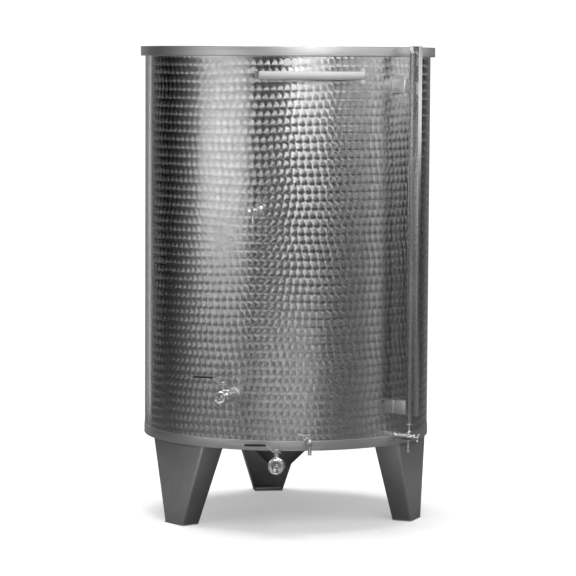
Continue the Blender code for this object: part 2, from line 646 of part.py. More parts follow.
def build_gauge():
    place = {"angle": GAUGE_ANGLE, "distance": BAND_RADIUS + SEAT_GAP, "height": GAUGE_TAP_HEIGHT}
    ends = GAUGE_LENGTHS
    body = add_piece("gauge_tap_body", turned([
        (0, 0), (0, GAUGE_ROSETTE_RADIUS), (ends["rosette"], GAUGE_ROSETTE_RADIUS),
        (ends["rosette"], GAUGE_BODY_RADIUS), (ends["body"], GAUGE_BODY_RADIUS),
        (ends["body"], GAUGE_COLLAR_RADIUS), (ends["collar"], GAUGE_COLLAR_RADIUS), (ends["collar"], 0),
    ], "X"), "polished_steel", **place)
    tube_place = {**place, "distance": TANK_RADIUS + TUBE_STANDOFF}
    boss = add_object("gauge_boss", turned([
        (0, 0), (0, BOSS_RADIUS), (BOSS_TOP, BOSS_RADIUS), (BOSS_TOP, PIN_RADIUS),
        (GLAND_BOTTOM - SEAT_GAP, PIN_RADIUS), (GLAND_BOTTOM - SEAT_GAP, 0),
    ], "Z", 16), **tube_place)
    apply_cutter(body, boss, "UNION")
    add_spout("gauge_tap_spout", GAUGE_SPOUT_PLACE, GAUGE_SPOUT_RADIUS, GAUGE_SPOUT_DROP,
              GAUGE_BODY_RADIUS, place)
    add_piece("gauge_gland", turned([
        (GLAND_BOTTOM, 0), (GLAND_BOTTOM, GLAND_RADIUS), (GLAND_TOP, GLAND_RADIUS), (GLAND_TOP, 0),
    ], "Z", 24), "polished_steel", **tube_place)

    tube_low = GLAND_TOP + SEAT_GAP
    tube_high = TUBE_TOP - GAUGE_TAP_HEIGHT
    add_piece("gauge_tube", turned([
        (tube_low, TUBE_RADIUS), (tube_high, TUBE_RADIUS), (tube_high, TUBE_RADIUS - TUBE_WALL),
        (tube_low, TUBE_RADIUS - TUBE_WALL),
    ], "Z", 24, True), "clear_tube", **tube_place)
    cap_low = tube_high + SEAT_GAP
    add_piece("gauge_tube_cap", turned([
        (cap_low, 0), (cap_low, CAP_RADIUS), (cap_low + CAP_HEIGHT, CAP_RADIUS), (cap_low + CAP_HEIGHT, 0),
    ], "Z", 16), "polished_steel", **tube_place)

    inner = TANK_RADIUS + GUARD_INNER
    outer = TANK_RADIUS + GUARD_OUTER
    half = GUARD_HALF_WIDTH
    sheet = GUARD_SHEET
    outline = [
        (inner, -half), (inner, half), (outer, half), (outer, -half), (outer - sheet, -half),
        (outer - sheet, half - sheet), (inner + sheet, half - sheet), (inner + sheet, -half),
    ]
    add_piece("gauge_guard", upright(outline, GUARD_BOTTOM, GUARD_TOP), "brushed_steel", angle=GAUGE_ANGLE)
    bracket_face = GUARD_INNER - SEAT_GAP
    build_strap("upper_gauge_bracket", GAUGE_ANGLE, UPPER_BRACKET_HALF_WIDTH, bracket_face,
                UPPER_BRACKET_CENTRE, BRACKET_HEIGHT)
    build_strap("lower_gauge_bracket", GAUGE_ANGLE, LOWER_BRACKET_HALF_WIDTH, bracket_face,
                LOWER_BRACKET_CENTRE, BRACKET_HEIGHT)

    start = ends["collar"] + SEAT_GAP
    knob = add_piece("gauge_tap_knob", turned([
        (start, 0), (start, WING_HUB_RADIUS), (start + WING_HUB_LENGTH, WING_HUB_RADIUS),
        (start + WING_HUB_LENGTH, 0),
    ], "X", 16), "polished_steel", **place)
    tilt = math.radians(WING_TILT)
    across = Vector((0, math.sin(tilt), math.cos(tilt)))
    thick = Vector((0, math.cos(tilt), -math.sin(tilt)))
    loops = []
    for side in (-1, 1):
        loops.append([Vector((along, 0, 0)) + across * reach + thick * (side * WING_SHEET / 2)
                      for along, reach in (
                          (start + 0.003, 0.002), (start + 0.007, WING_REACH), (start + 0.016, WING_REACH),
                          (start + 0.011, 0), (start + 0.016, -WING_REACH), (start + 0.007, -WING_REACH),
                          (start + 0.003, -0.002))])
    wings = add_object("gauge_tap_wings", skinned(loops), **place)
    apply_cutter(knob, wings, "UNION")


def main():
    clear_scene()
    build_shell()
    build_rim()
    build_base_band()
    build_bottom()
    for side, angle in LEG_ANGLES.items():
        build_leg(side, angle)
    build_strap("label_bar", 0.0, BAR_HALF_LENGTH, BAR_STANDOFF, BAR_CENTRE, BAR_HEIGHT)
    build_partial_outlet()
    build_total_outlet()
    build_tasting_tap()
    build_band_tap()
    build_gauge()


main()
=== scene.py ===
"""Looks of the open-topped storage tank: marbled shell, folded sheet, valves, taps and level gauge.

Metres, +Z up, origin on the tank's axis at floor level. Angles are in degrees from the front (-Y) towards
+X. A fitting is modelled at the origin, with X pointing away from the tank, Y towards larger angles and Z
up, and is then carried to its place.
"""
import json
import math

import bmesh
import bpy
from mathutils import Matrix, Vector


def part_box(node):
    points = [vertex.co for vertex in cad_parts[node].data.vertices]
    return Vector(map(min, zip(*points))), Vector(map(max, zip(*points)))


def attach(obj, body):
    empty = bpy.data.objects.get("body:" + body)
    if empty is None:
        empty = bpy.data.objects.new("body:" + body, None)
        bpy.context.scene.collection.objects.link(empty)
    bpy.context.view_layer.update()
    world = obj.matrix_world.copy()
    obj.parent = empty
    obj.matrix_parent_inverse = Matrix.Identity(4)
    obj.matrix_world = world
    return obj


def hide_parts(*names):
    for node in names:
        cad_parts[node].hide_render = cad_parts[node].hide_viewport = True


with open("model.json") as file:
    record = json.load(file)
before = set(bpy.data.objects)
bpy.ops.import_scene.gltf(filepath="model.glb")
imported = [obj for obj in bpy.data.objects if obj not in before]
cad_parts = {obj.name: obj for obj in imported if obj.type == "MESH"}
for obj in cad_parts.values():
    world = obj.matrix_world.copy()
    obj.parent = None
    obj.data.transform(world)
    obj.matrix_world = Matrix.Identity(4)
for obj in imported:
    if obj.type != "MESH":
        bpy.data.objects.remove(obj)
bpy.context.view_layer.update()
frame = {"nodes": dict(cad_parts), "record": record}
MM = 0.001

# Sizes read from the frame
SHELL_RADIUS = -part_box("shell_panel_1")[0].y
SHELL_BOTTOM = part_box("shell_panel_1")[0].z
SHELL_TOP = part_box("shell_panel_1")[1].z
RIM_OUTER = -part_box("top_rim_1")[0].y
RIM_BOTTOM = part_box("top_rim_1")[0].z
RIM_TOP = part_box("top_rim_1")[1].z
BAND_RADIUS = -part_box("base_band")[0].y
BAND_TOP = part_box("base_band")[1].z
SUMP_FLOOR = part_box("outlet_sump")[0].z
SUMP_RADIUS = (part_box("outlet_sump")[1].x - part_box("outlet_sump")[0].x) / 2
SHELL_SHEET = 1.5 * MM
GAP = 0.3 * MM
ROUND = 256

# Camera
CAMERA_ANGLE = -8.4
CAMERA_DISTANCE = 10.308
CAMERA_HEIGHT = 1.753
CAMERA_PAN = -0.03
CAMERA_PITCH = 4.86
CAMERA_ROLL = 0.35
CAMERA_LENS = 165.4

# Round polishing marks on the shell
MARKS_AROUND = 129
MARK_SPACING = math.tau * SHELL_RADIUS / MARKS_AROUND
MARK_ROW = 31.2 * MM
MARK_RADIUS = 24.6 * MM
SCRATCH_RINGS = 22
SCRATCH_SLOPE = 0.24
BRUSH_SLOPE = 1.2

# Upright weld of the shell's sheet, with its plain margins
SEAM_ANGLE = -82.0
SEAM_MARGIN = 38 * MM

# Two overlapping patches ground smooth between the bar and the rim
GROUND_ABOVE_BAR = (-8.6, -5.6)

# The bottom falls towards the front
BOTTOM_FRONT = 0.318
BOTTOM_SLOPE = 0.03
BOTTOM_SHEET = 2 * MM
SUMP_ANGLE = -11.6
SUMP_DISTANCE = 0.390
SUMP_FLOOR_RADIUS = 0.041

LEG_ANGLES = {"front_left": -60.0, "front_right": 60.0, "rear": 180.0}
LEG_TOP_BACK = 0.421
LEG_TOP_FACE = 0.522
LEG_SHEET = 3 * MM
STRAP_SHEET = 3 * MM
BAR_ANGLE = 0.0
GAUGE_ANGLE = 40.4
PARTIAL_OUTLET_DISTANCE = 0.6505
TOTAL_OUTLET_DISTANCE = 0.600

# Radii of the ball valves, and how deep their sockets are
VALVES = {
    "partial_outlet": {"ends": 0.024, "belly": 0.0255, "socket": 0.0176, "bore": 0.0125, "ball": 0.020,
                       "depth": 0.014},
    "total_outlet": {"ends": 0.029, "belly": 0.031, "socket": 0.0226, "bore": 0.016, "ball": 0.0245,
                     "depth": 0.015},
}

FLOOR_RADIUS = 3.2
FLOOR_GLOW = 0.395
FLOOR_IN_STEEL = 0.19

# Brightness of the room round the tank, by angle from the camera's side
ROOM = [
    (-180, 0.34), (-154, 0.30), (-149, 1.0), (-146, 1.0), (-141, 0.0), (-110, 0.0), (-92, 0.05), (-78, 0.30),
    (-38, 0.34), (-28, 0.02), (-6, 0.03), (4, 0.18), (14, 0.08), (45, 0.06), (66, 0.12), (73, 0.66),
    (80, 0.66), (88, 0.06), (110, 0.10), (124, 0.02), (145, 0.02), (156, 0.30)]

# Soft boxes: name, angle from the camera's side, distance, height, width, tallness, power and tilt
SOFT_BOXES = [
    ("left_box", -48, 3.0, 1.38, 2.2, 0.95, 10, 0),
    ("high_box", 17, 3.0, 2.65, 1.6, 1.8, 30, 12),
    ("centre_strip", 7, 3.6, 2.35, 0.4, 1.4, 3.5, 0),
    ("right_box", 60, 3.0, 2.25, 2.4, 1.1, 9, 0),
    ("side_box", 100, 3.0, 2.0, 1.8, 0.8, 6, 0),
    ("low_box", 0, 3.3, 0.24, 2.8, 0.48, 3.8, 0),
]


def polar(angle, distance, height=0.0):
    turn = math.radians(angle)
    return Vector((distance * math.sin(turn), -distance * math.cos(turn), height))


def fitting_place(angle, distance, height):
    """Carries a fitting from the origin to its place, with its X pointing away from the tank."""
    turn = Matrix.Rotation(math.radians(angle - 90), 4, "Z")
    return Matrix.Translation(polar(angle, distance, height)) @ turn


def box_in(place, node):
    """Lowest and highest corners of a CAD node, measured in a fitting's own frame."""
    back = place.inverted()
    points = [back @ vert.co for vert in frame["nodes"][node].data.vertices]
    low = Vector([min(point[axis] for point in points) for axis in range(3)])
    high = Vector([max(point[axis] for point in points) for axis in range(3)])
    return low, high


# Modelling steps

def start(name, primitive, **settings):
    """Adds a primitive and opens it for editing, with nothing else selected."""
    bpy.ops.object.select_all(action="DESELECT")
    getattr(bpy.ops.mesh, "primitive_" + primitive + "_add")(**settings)
    obj = bpy.context.object
    obj.name = name
    bpy.ops.object.mode_set(mode="EDIT")
    bpy.ops.mesh.select_mode(type="VERT")
    return obj


def start_block(name, low, high):
    """Opens a box between two corners for editing."""
    low, high = Vector(low), Vector(high)
    obj = start(name, "cube", size=1.0)
    bpy.ops.transform.resize(value=high - low)
    bpy.ops.transform.translate(value=(low + high) / 2)
    return obj


def trace(name, points):
    """Draws a line by extruding one vertex from point to point."""
    obj = start(name, "plane", size=0.001)
    bpy.ops.mesh.merge(type="CENTER")
    bpy.ops.transform.translate(value=points[0])
    for here, there in zip(points, points[1:]):
        step = Vector(there) - Vector(here)
        bpy.ops.mesh.extrude_vertices_move(TRANSFORM_OT_translate={"value": step})
    bpy.ops.mesh.select_all(action="SELECT")
    return obj


def close_line():
    """Joins the ends of the traced line, which stays a line."""
    bpy.ops.mesh.edge_face_add()
    bpy.ops.mesh.delete(type="ONLY_FACE")
    bpy.ops.mesh.select_all(action="SELECT")


def pick(obj, kind, test):
    """Selects the verts, edges or faces of the edited mesh that pass a test."""
    bpy.ops.mesh.select_mode(type={"verts": "VERT", "edges": "EDGE", "faces": "FACE"}[kind])
    bpy.ops.mesh.select_all(action="DESELECT")
    shape = bmesh.from_edit_mesh(obj.data)
    for part in getattr(shape, kind):
        if test(part):
            part.select_set(True)
    bmesh.update_edit_mesh(obj.data)


def pick_all():
    bpy.ops.mesh.select_mode(type="VERT")
    bpy.ops.mesh.select_all(action="SELECT")


def middle(edge):
    return (edge.verts[0].co + edge.verts[1].co) / 2


def extrude(x=0.0, y=0.0, z=0.0):
    bpy.ops.mesh.extrude_region_move(TRANSFORM_OT_translate={"value": (x, y, z)})


def round_edges(offset, segments=3):
    bpy.ops.mesh.bevel(offset=offset, segments=segments, clamp_overlap=True)


def spin(steps, axis, dupli=False):
    """Sweeps the selection full round an axis, or sets copies of it round the axis where dupli."""
    turn = math.tau
    if dupli:
        turn = math.tau * (steps - 1) / steps
        steps -= 1
    bpy.ops.mesh.spin(steps=steps, angle=turn, dupli=dupli, center=(0, 0, 0), axis=axis)


def tidy_mesh():
    pick_all()
    bpy.ops.mesh.remove_doubles(threshold=0.00001)
    bpy.ops.mesh.normals_make_consistent(inside=False)


def turned(name, outline, steps=48, upright=False, ring=False, soften=0.3 * MM):
    """Turns an outline of (place along, radius) round the fitting's X, or round its Z where upright."""
    if upright:
        points = [(radius, 0, along) for along, radius in outline]
    else:
        points = [(along, 0, radius) for along, radius in outline]
    obj = trace(name, points)
    if ring:
        close_line()
    spin(steps, (0, 0, 1) if upright else (1, 0, 0))
    tidy_mesh()
    if soften:
        soften_edges(obj, soften)
    return obj


def soften_edges(obj, width, segments=2, angle=32):
    modify(obj, "BEVEL", width=width, segments=segments, limit_method="ANGLE",
           angle_limit=math.radians(angle))


def fold_sheet(name, outline, bottom, top, fold, sheet):
    """Folds a strip of sheet: an open outline in plan, drawn up, rounded at its folds and thickened."""
    obj = trace(name, [(x, y, bottom) for x, y in outline])
    extrude(z=top - bottom)
    ends = (outline[0], outline[-1])
    pick(obj, "edges", lambda edge: abs(edge.verts[0].co.z - edge.verts[1].co.z) > 1 * MM and all(
        math.dist(middle(edge)[:2], end) > 0.1 * MM for end in ends))
    round_edges(fold, 5)
    modify(obj, "SOLIDIFY", thickness=sheet, offset=-1.0, use_even_offset=True)
    return obj


def leave_edit(obj):
    if obj.mode == "EDIT":
        bpy.ops.object.mode_set(mode="OBJECT")
    bpy.ops.object.select_all(action="DESELECT")
    obj.select_set(True)
    bpy.context.view_layer.objects.active = obj


def reopen(obj):
    leave_edit(obj)
    bpy.ops.object.mode_set(mode="EDIT")
    pick_all()


def modify(obj, kind, **settings):
    """Adds a modifier and applies it."""
    leave_edit(obj)
    modifier = obj.modifiers.new(kind.lower(), kind)
    for key, value in settings.items():
        setattr(modifier, key, value)
    bpy.ops.object.modifier_apply(modifier=modifier.name)


def cut_with(obj, cutter):
    leave_edit(cutter)
    modify(obj, "BOOLEAN", object=cutter, operation="DIFFERENCE", solver="EXACT")
    bpy.data.objects.remove(cutter, do_unlink=True)


def join(obj, *others):
    """Joins finished meshes into the first one."""
    leave_edit(obj)
    for other in others:
        other.select_set(True)
    bpy.ops.object.join()
    return obj


def carry(obj, place):
    """Moves a piece from the origin to its place, and keeps the place in its mesh."""
    leave_edit(obj)
    obj.matrix_world = place @ obj.matrix_world
    bpy.ops.object.transform_apply(location=True, rotation=True, scale=True)


def slide_out(obj, distance):
    """Moves an upright part out along the fitting's X."""
    reopen(obj)
    bpy.ops.transform.translate(value=(distance, 0, 0))
    leave_edit(obj)


def finish_piece(obj, finish, replaces=(), place=None, body="tank"):
    """Carries a piece to its place, gives it its finish and hands it to the body that it moves with."""
    leave_edit(obj)
    if place is not None:
        carry(obj, place)
    bpy.ops.object.transform_apply(location=True, rotation=True, scale=True)
    bpy.ops.object.shade_smooth_by_angle(angle=math.radians(32))
    if not obj.data.materials:
        obj.data.materials.append(FINISH[finish])
    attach(obj, body)
    if replaces:
        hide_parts(*replaces)


# Shader wiring

def feed(tree, socket, value):
    """Links a socket to an output, or sets it to a plain value."""
    if isinstance(value, bpy.types.NodeSocket):
        tree.links.new(value, socket)
    elif value is not None:
        socket.default_value = value


def calc(tree, operation, *values):
    node = tree.nodes.new("ShaderNodeMath")
    node.operation = operation
    for socket, value in zip(node.inputs, values):
        feed(tree, socket, value)
    return node.outputs[0]


def add_share(tree, base, value, share):
    """A base value plus a share of another one."""
    return calc(tree, "ADD", base, calc(tree, "MULTIPLY", value, share))


def vector_calc(tree, operation, *values, scale=None):
    node = tree.nodes.new("ShaderNodeVectorMath")
    node.operation = operation
    for socket, value in zip(node.inputs, values):
        feed(tree, socket, value)
    if scale is not None:
        feed(tree, node.inputs["Scale"], scale)
    return node.outputs["Value"] if operation in ("LENGTH", "DISTANCE", "DOT_PRODUCT") else node.outputs[0]


def ease(tree, value, low, high, to_low=0.0, to_high=1.0):
    """Maps a value smoothly from one range to another."""
    node = tree.nodes.new("ShaderNodeMapRange")
    node.interpolation_type = "SMOOTHSTEP"
    for name, setting in (("Value", value), ("From Min", low), ("From Max", high),
                          ("To Min", to_low), ("To Max", to_high)):
        feed(tree, node.inputs[name], setting)
    return node.outputs["Result"]


def blend(tree, factor, first, second):
    """Gives the first value where the factor is 0, and the second where it is 1."""
    node = tree.nodes.new("ShaderNodeMix")
    for socket, value in zip((node.inputs[0], node.inputs[2], node.inputs[3]), (factor, first, second)):
        feed(tree, socket, value)
    return node.outputs[0]


def noise(tree, vector, scale, detail=2.0, roughness=0.5):
    node = tree.nodes.new("ShaderNodeTexNoise")
    feed(tree, node.inputs["Vector"], vector)
    node.inputs["Scale"].default_value = scale
    node.inputs["Detail"].default_value = detail
    node.inputs["Roughness"].default_value = roughness
    return node.outputs["Fac"]


def axes_of(tree, vector):
    node = tree.nodes.new("ShaderNodeSeparateXYZ")
    tree.links.new(vector, node.inputs[0])
    return node.outputs


def vector_from(tree, x=0.0, y=0.0, z=0.0):
    node = tree.nodes.new("ShaderNodeCombineXYZ")
    for socket, value in zip(node.inputs, (x, y, z)):
        feed(tree, socket, value)
    return node.outputs[0]


def new_group(name, inputs, outputs):
    """Starts a node group. Inputs and outputs are (name, type, value) and (name, type)."""
    tree = bpy.data.node_groups.new(name, "ShaderNodeTree")
    for label, kind, value in inputs:
        socket = tree.interface.new_socket(label, in_out="INPUT", socket_type="NodeSocket" + kind)
        if value is not None:
            socket.default_value = value
    for label, kind in outputs:
        tree.interface.new_socket(label, in_out="OUTPUT", socket_type="NodeSocket" + kind)
    return tree, tree.nodes.new("NodeGroupInput").outputs, tree.nodes.new("NodeGroupOutput").inputs


def place_group(tree, group, **values):
    node = tree.nodes.new("ShaderNodeGroup")
    node.node_tree = group
    for name, value in values.items():
        feed(tree, node.inputs[name], value)
    return node.outputs


def make_unrolled_group():
    """Unrolls the round wall: metres round it and up it, and the direction round it."""
    tree, _, result = new_group("unrolled_wall", [], [("Place", "Vector"), ("Around", "Vector")])
    coordinates = tree.nodes.new("ShaderNodeTexCoord").outputs["Object"]
    x, y, z = axes_of(tree, coordinates)
    angle = calc(tree, "ARCTAN2", x, calc(tree, "MULTIPLY", y, -1.0))
    tree.links.new(vector_from(tree, calc(tree, "MULTIPLY", angle, SHELL_RADIUS), z), result["Place"])
    around = vector_from(tree, calc(tree, "MULTIPLY", y, -1.0), x)
    tree.links.new(vector_calc(tree, "NORMALIZE", around), result["Around"])
    return tree


def mark_in_row(tree, along, rise):
    """Offset from the mark that lies on top here in one row, half that mark's width here, and its column."""
    under = calc(tree, "SUBTRACT", MARK_RADIUS ** 2, calc(tree, "MULTIPLY", rise, rise))
    half = calc(tree, "SQRT", calc(tree, "MAXIMUM", under, 0.0))
    column = calc(tree, "CEIL", calc(tree, "DIVIDE", calc(tree, "SUBTRACT", along, half), MARK_SPACING))
    return calc(tree, "SUBTRACT", along, calc(tree, "MULTIPLY", column, MARK_SPACING)), half, column


def shift_row(tree, along, row):
    """Moves a row of marks sideways by up to half a mark, unevenly from row to row."""
    wave = calc(tree, "SINE", calc(tree, "MULTIPLY", row, 2.4))
    return add_share(tree, along, wave, MARK_SPACING * 0.5)


def make_marks_group():
    """Overlapping round polishing marks. Puts out the radial direction in the top mark, and masks."""
    tree, given, result = new_group(
        "round_marks", [("Place", "Vector", None)],
        [("Radial", "Vector"), ("Edge", "Float"), ("Mark", "Float"), ("Reach", "Float")])
    along, up, _ = axes_of(tree, given["Place"])
    row = calc(tree, "CEIL", calc(tree, "DIVIDE", calc(tree, "SUBTRACT", up, MARK_RADIUS), MARK_ROW))
    rise = calc(tree, "SUBTRACT", up, calc(tree, "MULTIPLY", row, MARK_ROW))
    first, half, first_column = mark_in_row(tree, shift_row(tree, along, row), rise)
    behind_rise = calc(tree, "SUBTRACT", rise, MARK_ROW)
    behind_row = calc(tree, "ADD", row, 1.0)
    second, _, second_column = mark_in_row(tree, shift_row(tree, along, behind_row), behind_rise)
    uncovered = calc(tree, "LESS_THAN", first, calc(tree, "MULTIPLY", half, -1.0))
    across = blend(tree, uncovered, first, second)
    height = blend(tree, uncovered, rise, behind_rise)
    offset = vector_from(tree, across, height)
    reach = vector_calc(tree, "LENGTH", offset)
    radial = vector_calc(tree, "NORMALIZE", offset)
    tree.links.new(radial, result["Radial"])
    share = calc(tree, "DIVIDE", reach, MARK_RADIUS)
    tree.links.new(share, result["Reach"])
    tree.links.new(ease(tree, share, 0.88, 1.0), result["Edge"])
    random = tree.nodes.new("ShaderNodeTexWhiteNoise")
    random.noise_dimensions = "2D"
    column = blend(tree, uncovered, first_column, second_column)
    owner = calc(tree, "ADD", row, uncovered)
    tree.links.new(vector_from(tree, column, owner), random.inputs["Vector"])
    tree.links.new(random.outputs["Value"], result["Mark"])
    return tree


def ground_patches():
    """Places ground smooth after welding: angle, height and radius."""
    patches = [(angle, RIM_BOTTOM - 21 * MM, 17 * MM) for angle in GROUND_ABOVE_BAR]
    for node, angle in (("label_bar", BAR_ANGLE), ("upper_gauge_bracket", GAUGE_ANGLE)):
        low, high = box_in(TANK_SIDE[angle], node)
        reach = math.degrees(math.asin((high.y + 6 * MM) / SHELL_RADIUS))
        for side in (-1, 1):
            for height in (low.z - 5 * MM, high.z + 5 * MM):
                patches.append((angle + side * reach, height, 12 * MM))
    return patches


def make_ground_group():
    """Masks: the ground patches, and the plain margins of the upright weld."""
    tree, given, result = new_group("ground_places", [("Place", "Vector", None)],
                                    [("Patch", "Float"), ("Margin", "Float")])
    mask = 0.0
    for angle, height, radius in ground_patches():
        centre = (math.radians(angle) * SHELL_RADIUS, height, 0)
        gap = vector_calc(tree, "DISTANCE", given["Place"], centre)
        mask = calc(tree, "MAXIMUM", mask, ease(tree, gap, radius * 0.6, radius, 1.0, 0.0))
    tree.links.new(mask, result["Patch"])
    seam = calc(tree, "SUBTRACT", axes_of(tree, given["Place"])[0], math.radians(SEAM_ANGLE) * SHELL_RADIUS)
    gap = calc(tree, "ABSOLUTE", seam)
    tree.links.new(ease(tree, gap, SEAM_MARGIN - 2 * MM, SEAM_MARGIN, 1.0, 0.0), result["Margin"])
    return tree


def make_smudge_group():
    """Soft uneven patches that handling and cleaning leave on sheet."""
    tree, given, result = new_group("smudges", [("Scale", "Float", 1.0)],
                                    [("Shade", "Float"), ("Fine", "Float")])
    place = tree.nodes.new("ShaderNodeTexCoord").outputs["Object"]
    place = vector_calc(tree, "SCALE", place, scale=given["Scale"])
    tree.links.new(noise(tree, place, 7.0, 4.0, 0.6), result["Shade"])
    tree.links.new(noise(tree, place, 60.0, 3.0, 0.6), result["Fine"])
    return tree


def make_brush_group():
    """Fine brush lines that run along Y of the given place, and wider streaks."""
    tree, given, result = new_group(
        "brush_lines", [("Place", "Vector", None), ("Along", "Float", 4.0), ("Across", "Float", 900.0)],
        [("Lines", "Float"), ("Streaks", "Float")])
    x, y, z = axes_of(tree, given["Place"])
    x, y, z = [calc(tree, "MULTIPLY", value, given[scale])
               for value, scale in ((x, "Across"), (y, "Along"), (z, "Across"))]
    fine = vector_from(tree, x, y, z)
    tree.links.new(noise(tree, fine, 1.0, 2.0, 0.7), result["Lines"])
    wide = vector_calc(tree, "SCALE", fine, scale=0.12)
    tree.links.new(noise(tree, wide, 1.0, 2.0, 0.6), result["Streaks"])
    return tree


# The shared groups, filled before the materials are made
GROUPS = {}


def new_material(name, colour, roughness, metallic=1.0):
    material = bpy.data.materials.new(name)
    material.use_nodes = True
    shader = material.node_tree.nodes["Principled BSDF"]
    shader.inputs["Base Color"].default_value = (*colour, 1.0)
    shader.inputs["Roughness"].default_value = roughness
    shader.inputs["Metallic"].default_value = metallic
    return material, material.node_tree, shader


def paint(tree, shader, shade, tint=(1.0, 1.0, 1.0)):
    """Gives a material its colour: a grey of this shade, with a slight tint."""
    colour = vector_from(tree, *[calc(tree, "MULTIPLY", shade, part) for part in tint])
    tree.links.new(colour, shader.inputs["Base Color"])


def add_bump(tree, shader, height, strength):
    bump = tree.nodes.new("ShaderNodeBump")
    bump.inputs["Strength"].default_value = strength
    bump.inputs["Distance"].default_value = 0.2 * MM
    tree.links.new(height, bump.inputs["Height"])
    tree.links.new(bump.outputs[0], shader.inputs["Normal"])


def make_marbled_steel():
    material, tree, shader = new_material("marbled_steel", (0.56, 0.56, 0.56), 0.28)
    wall = place_group(tree, GROUPS["unrolled"])
    marks = place_group(tree, GROUPS["marks"], Place=wall["Place"])
    smudges = place_group(tree, GROUPS["smudges"], Scale=1.0)
    geometry = tree.nodes.new("ShaderNodeNewGeometry").outputs["Normal"]
    right, up, _ = axes_of(tree, marks["Radial"])
    ring = calc(tree, "PINGPONG", calc(tree, "MULTIPLY", marks["Reach"], SCRATCH_RINGS), 0.5)
    share = calc(tree, "SUBTRACT", calc(tree, "MULTIPLY", ring, 3.8), 0.95)
    steepness = calc(tree, "INVERSE_SQRT", calc(tree, "SUBTRACT", 1.0, calc(tree, "MULTIPLY", share, share)))
    lean = calc(tree, "MULTIPLY", calc(tree, "MULTIPLY", share, steepness), SCRATCH_SLOPE)
    ground = place_group(tree, GROUPS["ground"], Place=wall["Place"])
    plain = calc(tree, "MAXIMUM", ground["Patch"], ground["Margin"])
    lean = calc(tree, "MULTIPLY", lean, calc(tree, "SUBTRACT", 1.0, plain))
    round_part = vector_calc(tree, "SCALE", wall["Around"], scale=calc(tree, "MULTIPLY", right, lean))
    up_part = vector_from(tree, 0.0, 0.0, calc(tree, "MULTIPLY", up, lean))
    normal = vector_calc(tree, "ADD", vector_calc(tree, "ADD", geometry, round_part), up_part)
    tree.links.new(vector_calc(tree, "NORMALIZE", normal), shader.inputs["Normal"])
    shade = add_share(tree, 0.51, marks["Mark"], 0.05)
    shade = add_share(tree, shade, marks["Edge"], -0.08)
    shade = add_share(tree, shade, smudges["Shade"], 0.05)
    shade = add_share(tree, shade, ground["Patch"], 0.34)
    paint(tree, shader, shade)
    rough = add_share(tree, 0.14, smudges["Fine"], 0.08)
    rough = add_share(tree, rough, ground["Patch"], 0.34)
    tree.links.new(rough, shader.inputs["Roughness"])
    return material


def make_brushed_round(name, base, roughness):
    """Brushed round the tank: the rim, the band and the plain inside of the sheet."""
    material, tree, shader = new_material(name, (base, base, base), roughness)
    wall = place_group(tree, GROUPS["unrolled"])
    along, up, _ = axes_of(tree, wall["Place"])
    lines = place_group(tree, GROUPS["brush"], Place=vector_from(tree, up, along), Along=6.0, Across=1500.0)
    smudges = place_group(tree, GROUPS["smudges"], Scale=1.6)
    shade = add_share(tree, base - 0.06, lines["Streaks"], 0.08)
    shade = add_share(tree, shade, smudges["Shade"], 0.05)
    paint(tree, shader, shade)
    rough = add_share(tree, roughness - 0.06, lines["Lines"], 0.12)
    tree.links.new(rough, shader.inputs["Roughness"])
    lean = calc(tree, "MULTIPLY", calc(tree, "SUBTRACT", lines["Lines"], 0.5), BRUSH_SLOPE)
    normal = tree.nodes.new("ShaderNodeNewGeometry").outputs["Normal"]
    normal = vector_calc(tree, "ADD", normal, vector_from(tree, 0.0, 0.0, lean))
    tree.links.new(vector_calc(tree, "NORMALIZE", normal), shader.inputs["Normal"])
    return material


def make_brushed_upright(name, base, roughness):
    """Brushed up and down, with soft uneven patches: legs, bottom, straps, guard and levers."""
    material, tree, shader = new_material(name, (base, base, base), roughness)
    coordinates = tree.nodes.new("ShaderNodeTexCoord").outputs["Object"]
    x, y, z = axes_of(tree, coordinates)
    lines = place_group(tree, GROUPS["brush"], Place=vector_from(tree, calc(tree, "ADD", x, y), z), Along=8.0,
                        Across=1100.0)
    smudges = place_group(tree, GROUPS["smudges"], Scale=3.0)
    shade = add_share(tree, base - 0.08, lines["Streaks"], 0.06)
    shade = add_share(tree, shade, smudges["Shade"], 0.10)
    paint(tree, shader, shade)
    rough = add_share(tree, roughness - 0.05, smudges["Shade"], 0.12)
    tree.links.new(rough, shader.inputs["Roughness"])
    add_bump(tree, shader, lines["Lines"], 0.10)
    return material


def make_polished_steel():
    material, tree, shader = new_material("polished_steel", (0.70, 0.70, 0.69), 0.16)
    smudges = place_group(tree, GROUPS["smudges"], Scale=8.0)
    shade = add_share(tree, 0.76, smudges["Shade"], 0.12)
    paint(tree, shader, shade, (1.0, 0.998, 0.985))
    rough = add_share(tree, 0.20, smudges["Fine"], 0.12)
    tree.links.new(rough, shader.inputs["Roughness"])
    add_bump(tree, shader, smudges["Fine"], 0.12)
    return material


def make_black_sleeve():
    material, tree, shader = new_material("black_sleeve", (0.02, 0.02, 0.02), 0.45, 0.0)
    smudges = place_group(tree, GROUPS["smudges"], Scale=10.0)
    shade = add_share(tree, 0.012, smudges["Shade"], 0.016)
    paint(tree, shader, shade)
    rough = add_share(tree, 0.34, smudges["Fine"], 0.2)
    tree.links.new(rough, shader.inputs["Roughness"])
    return material


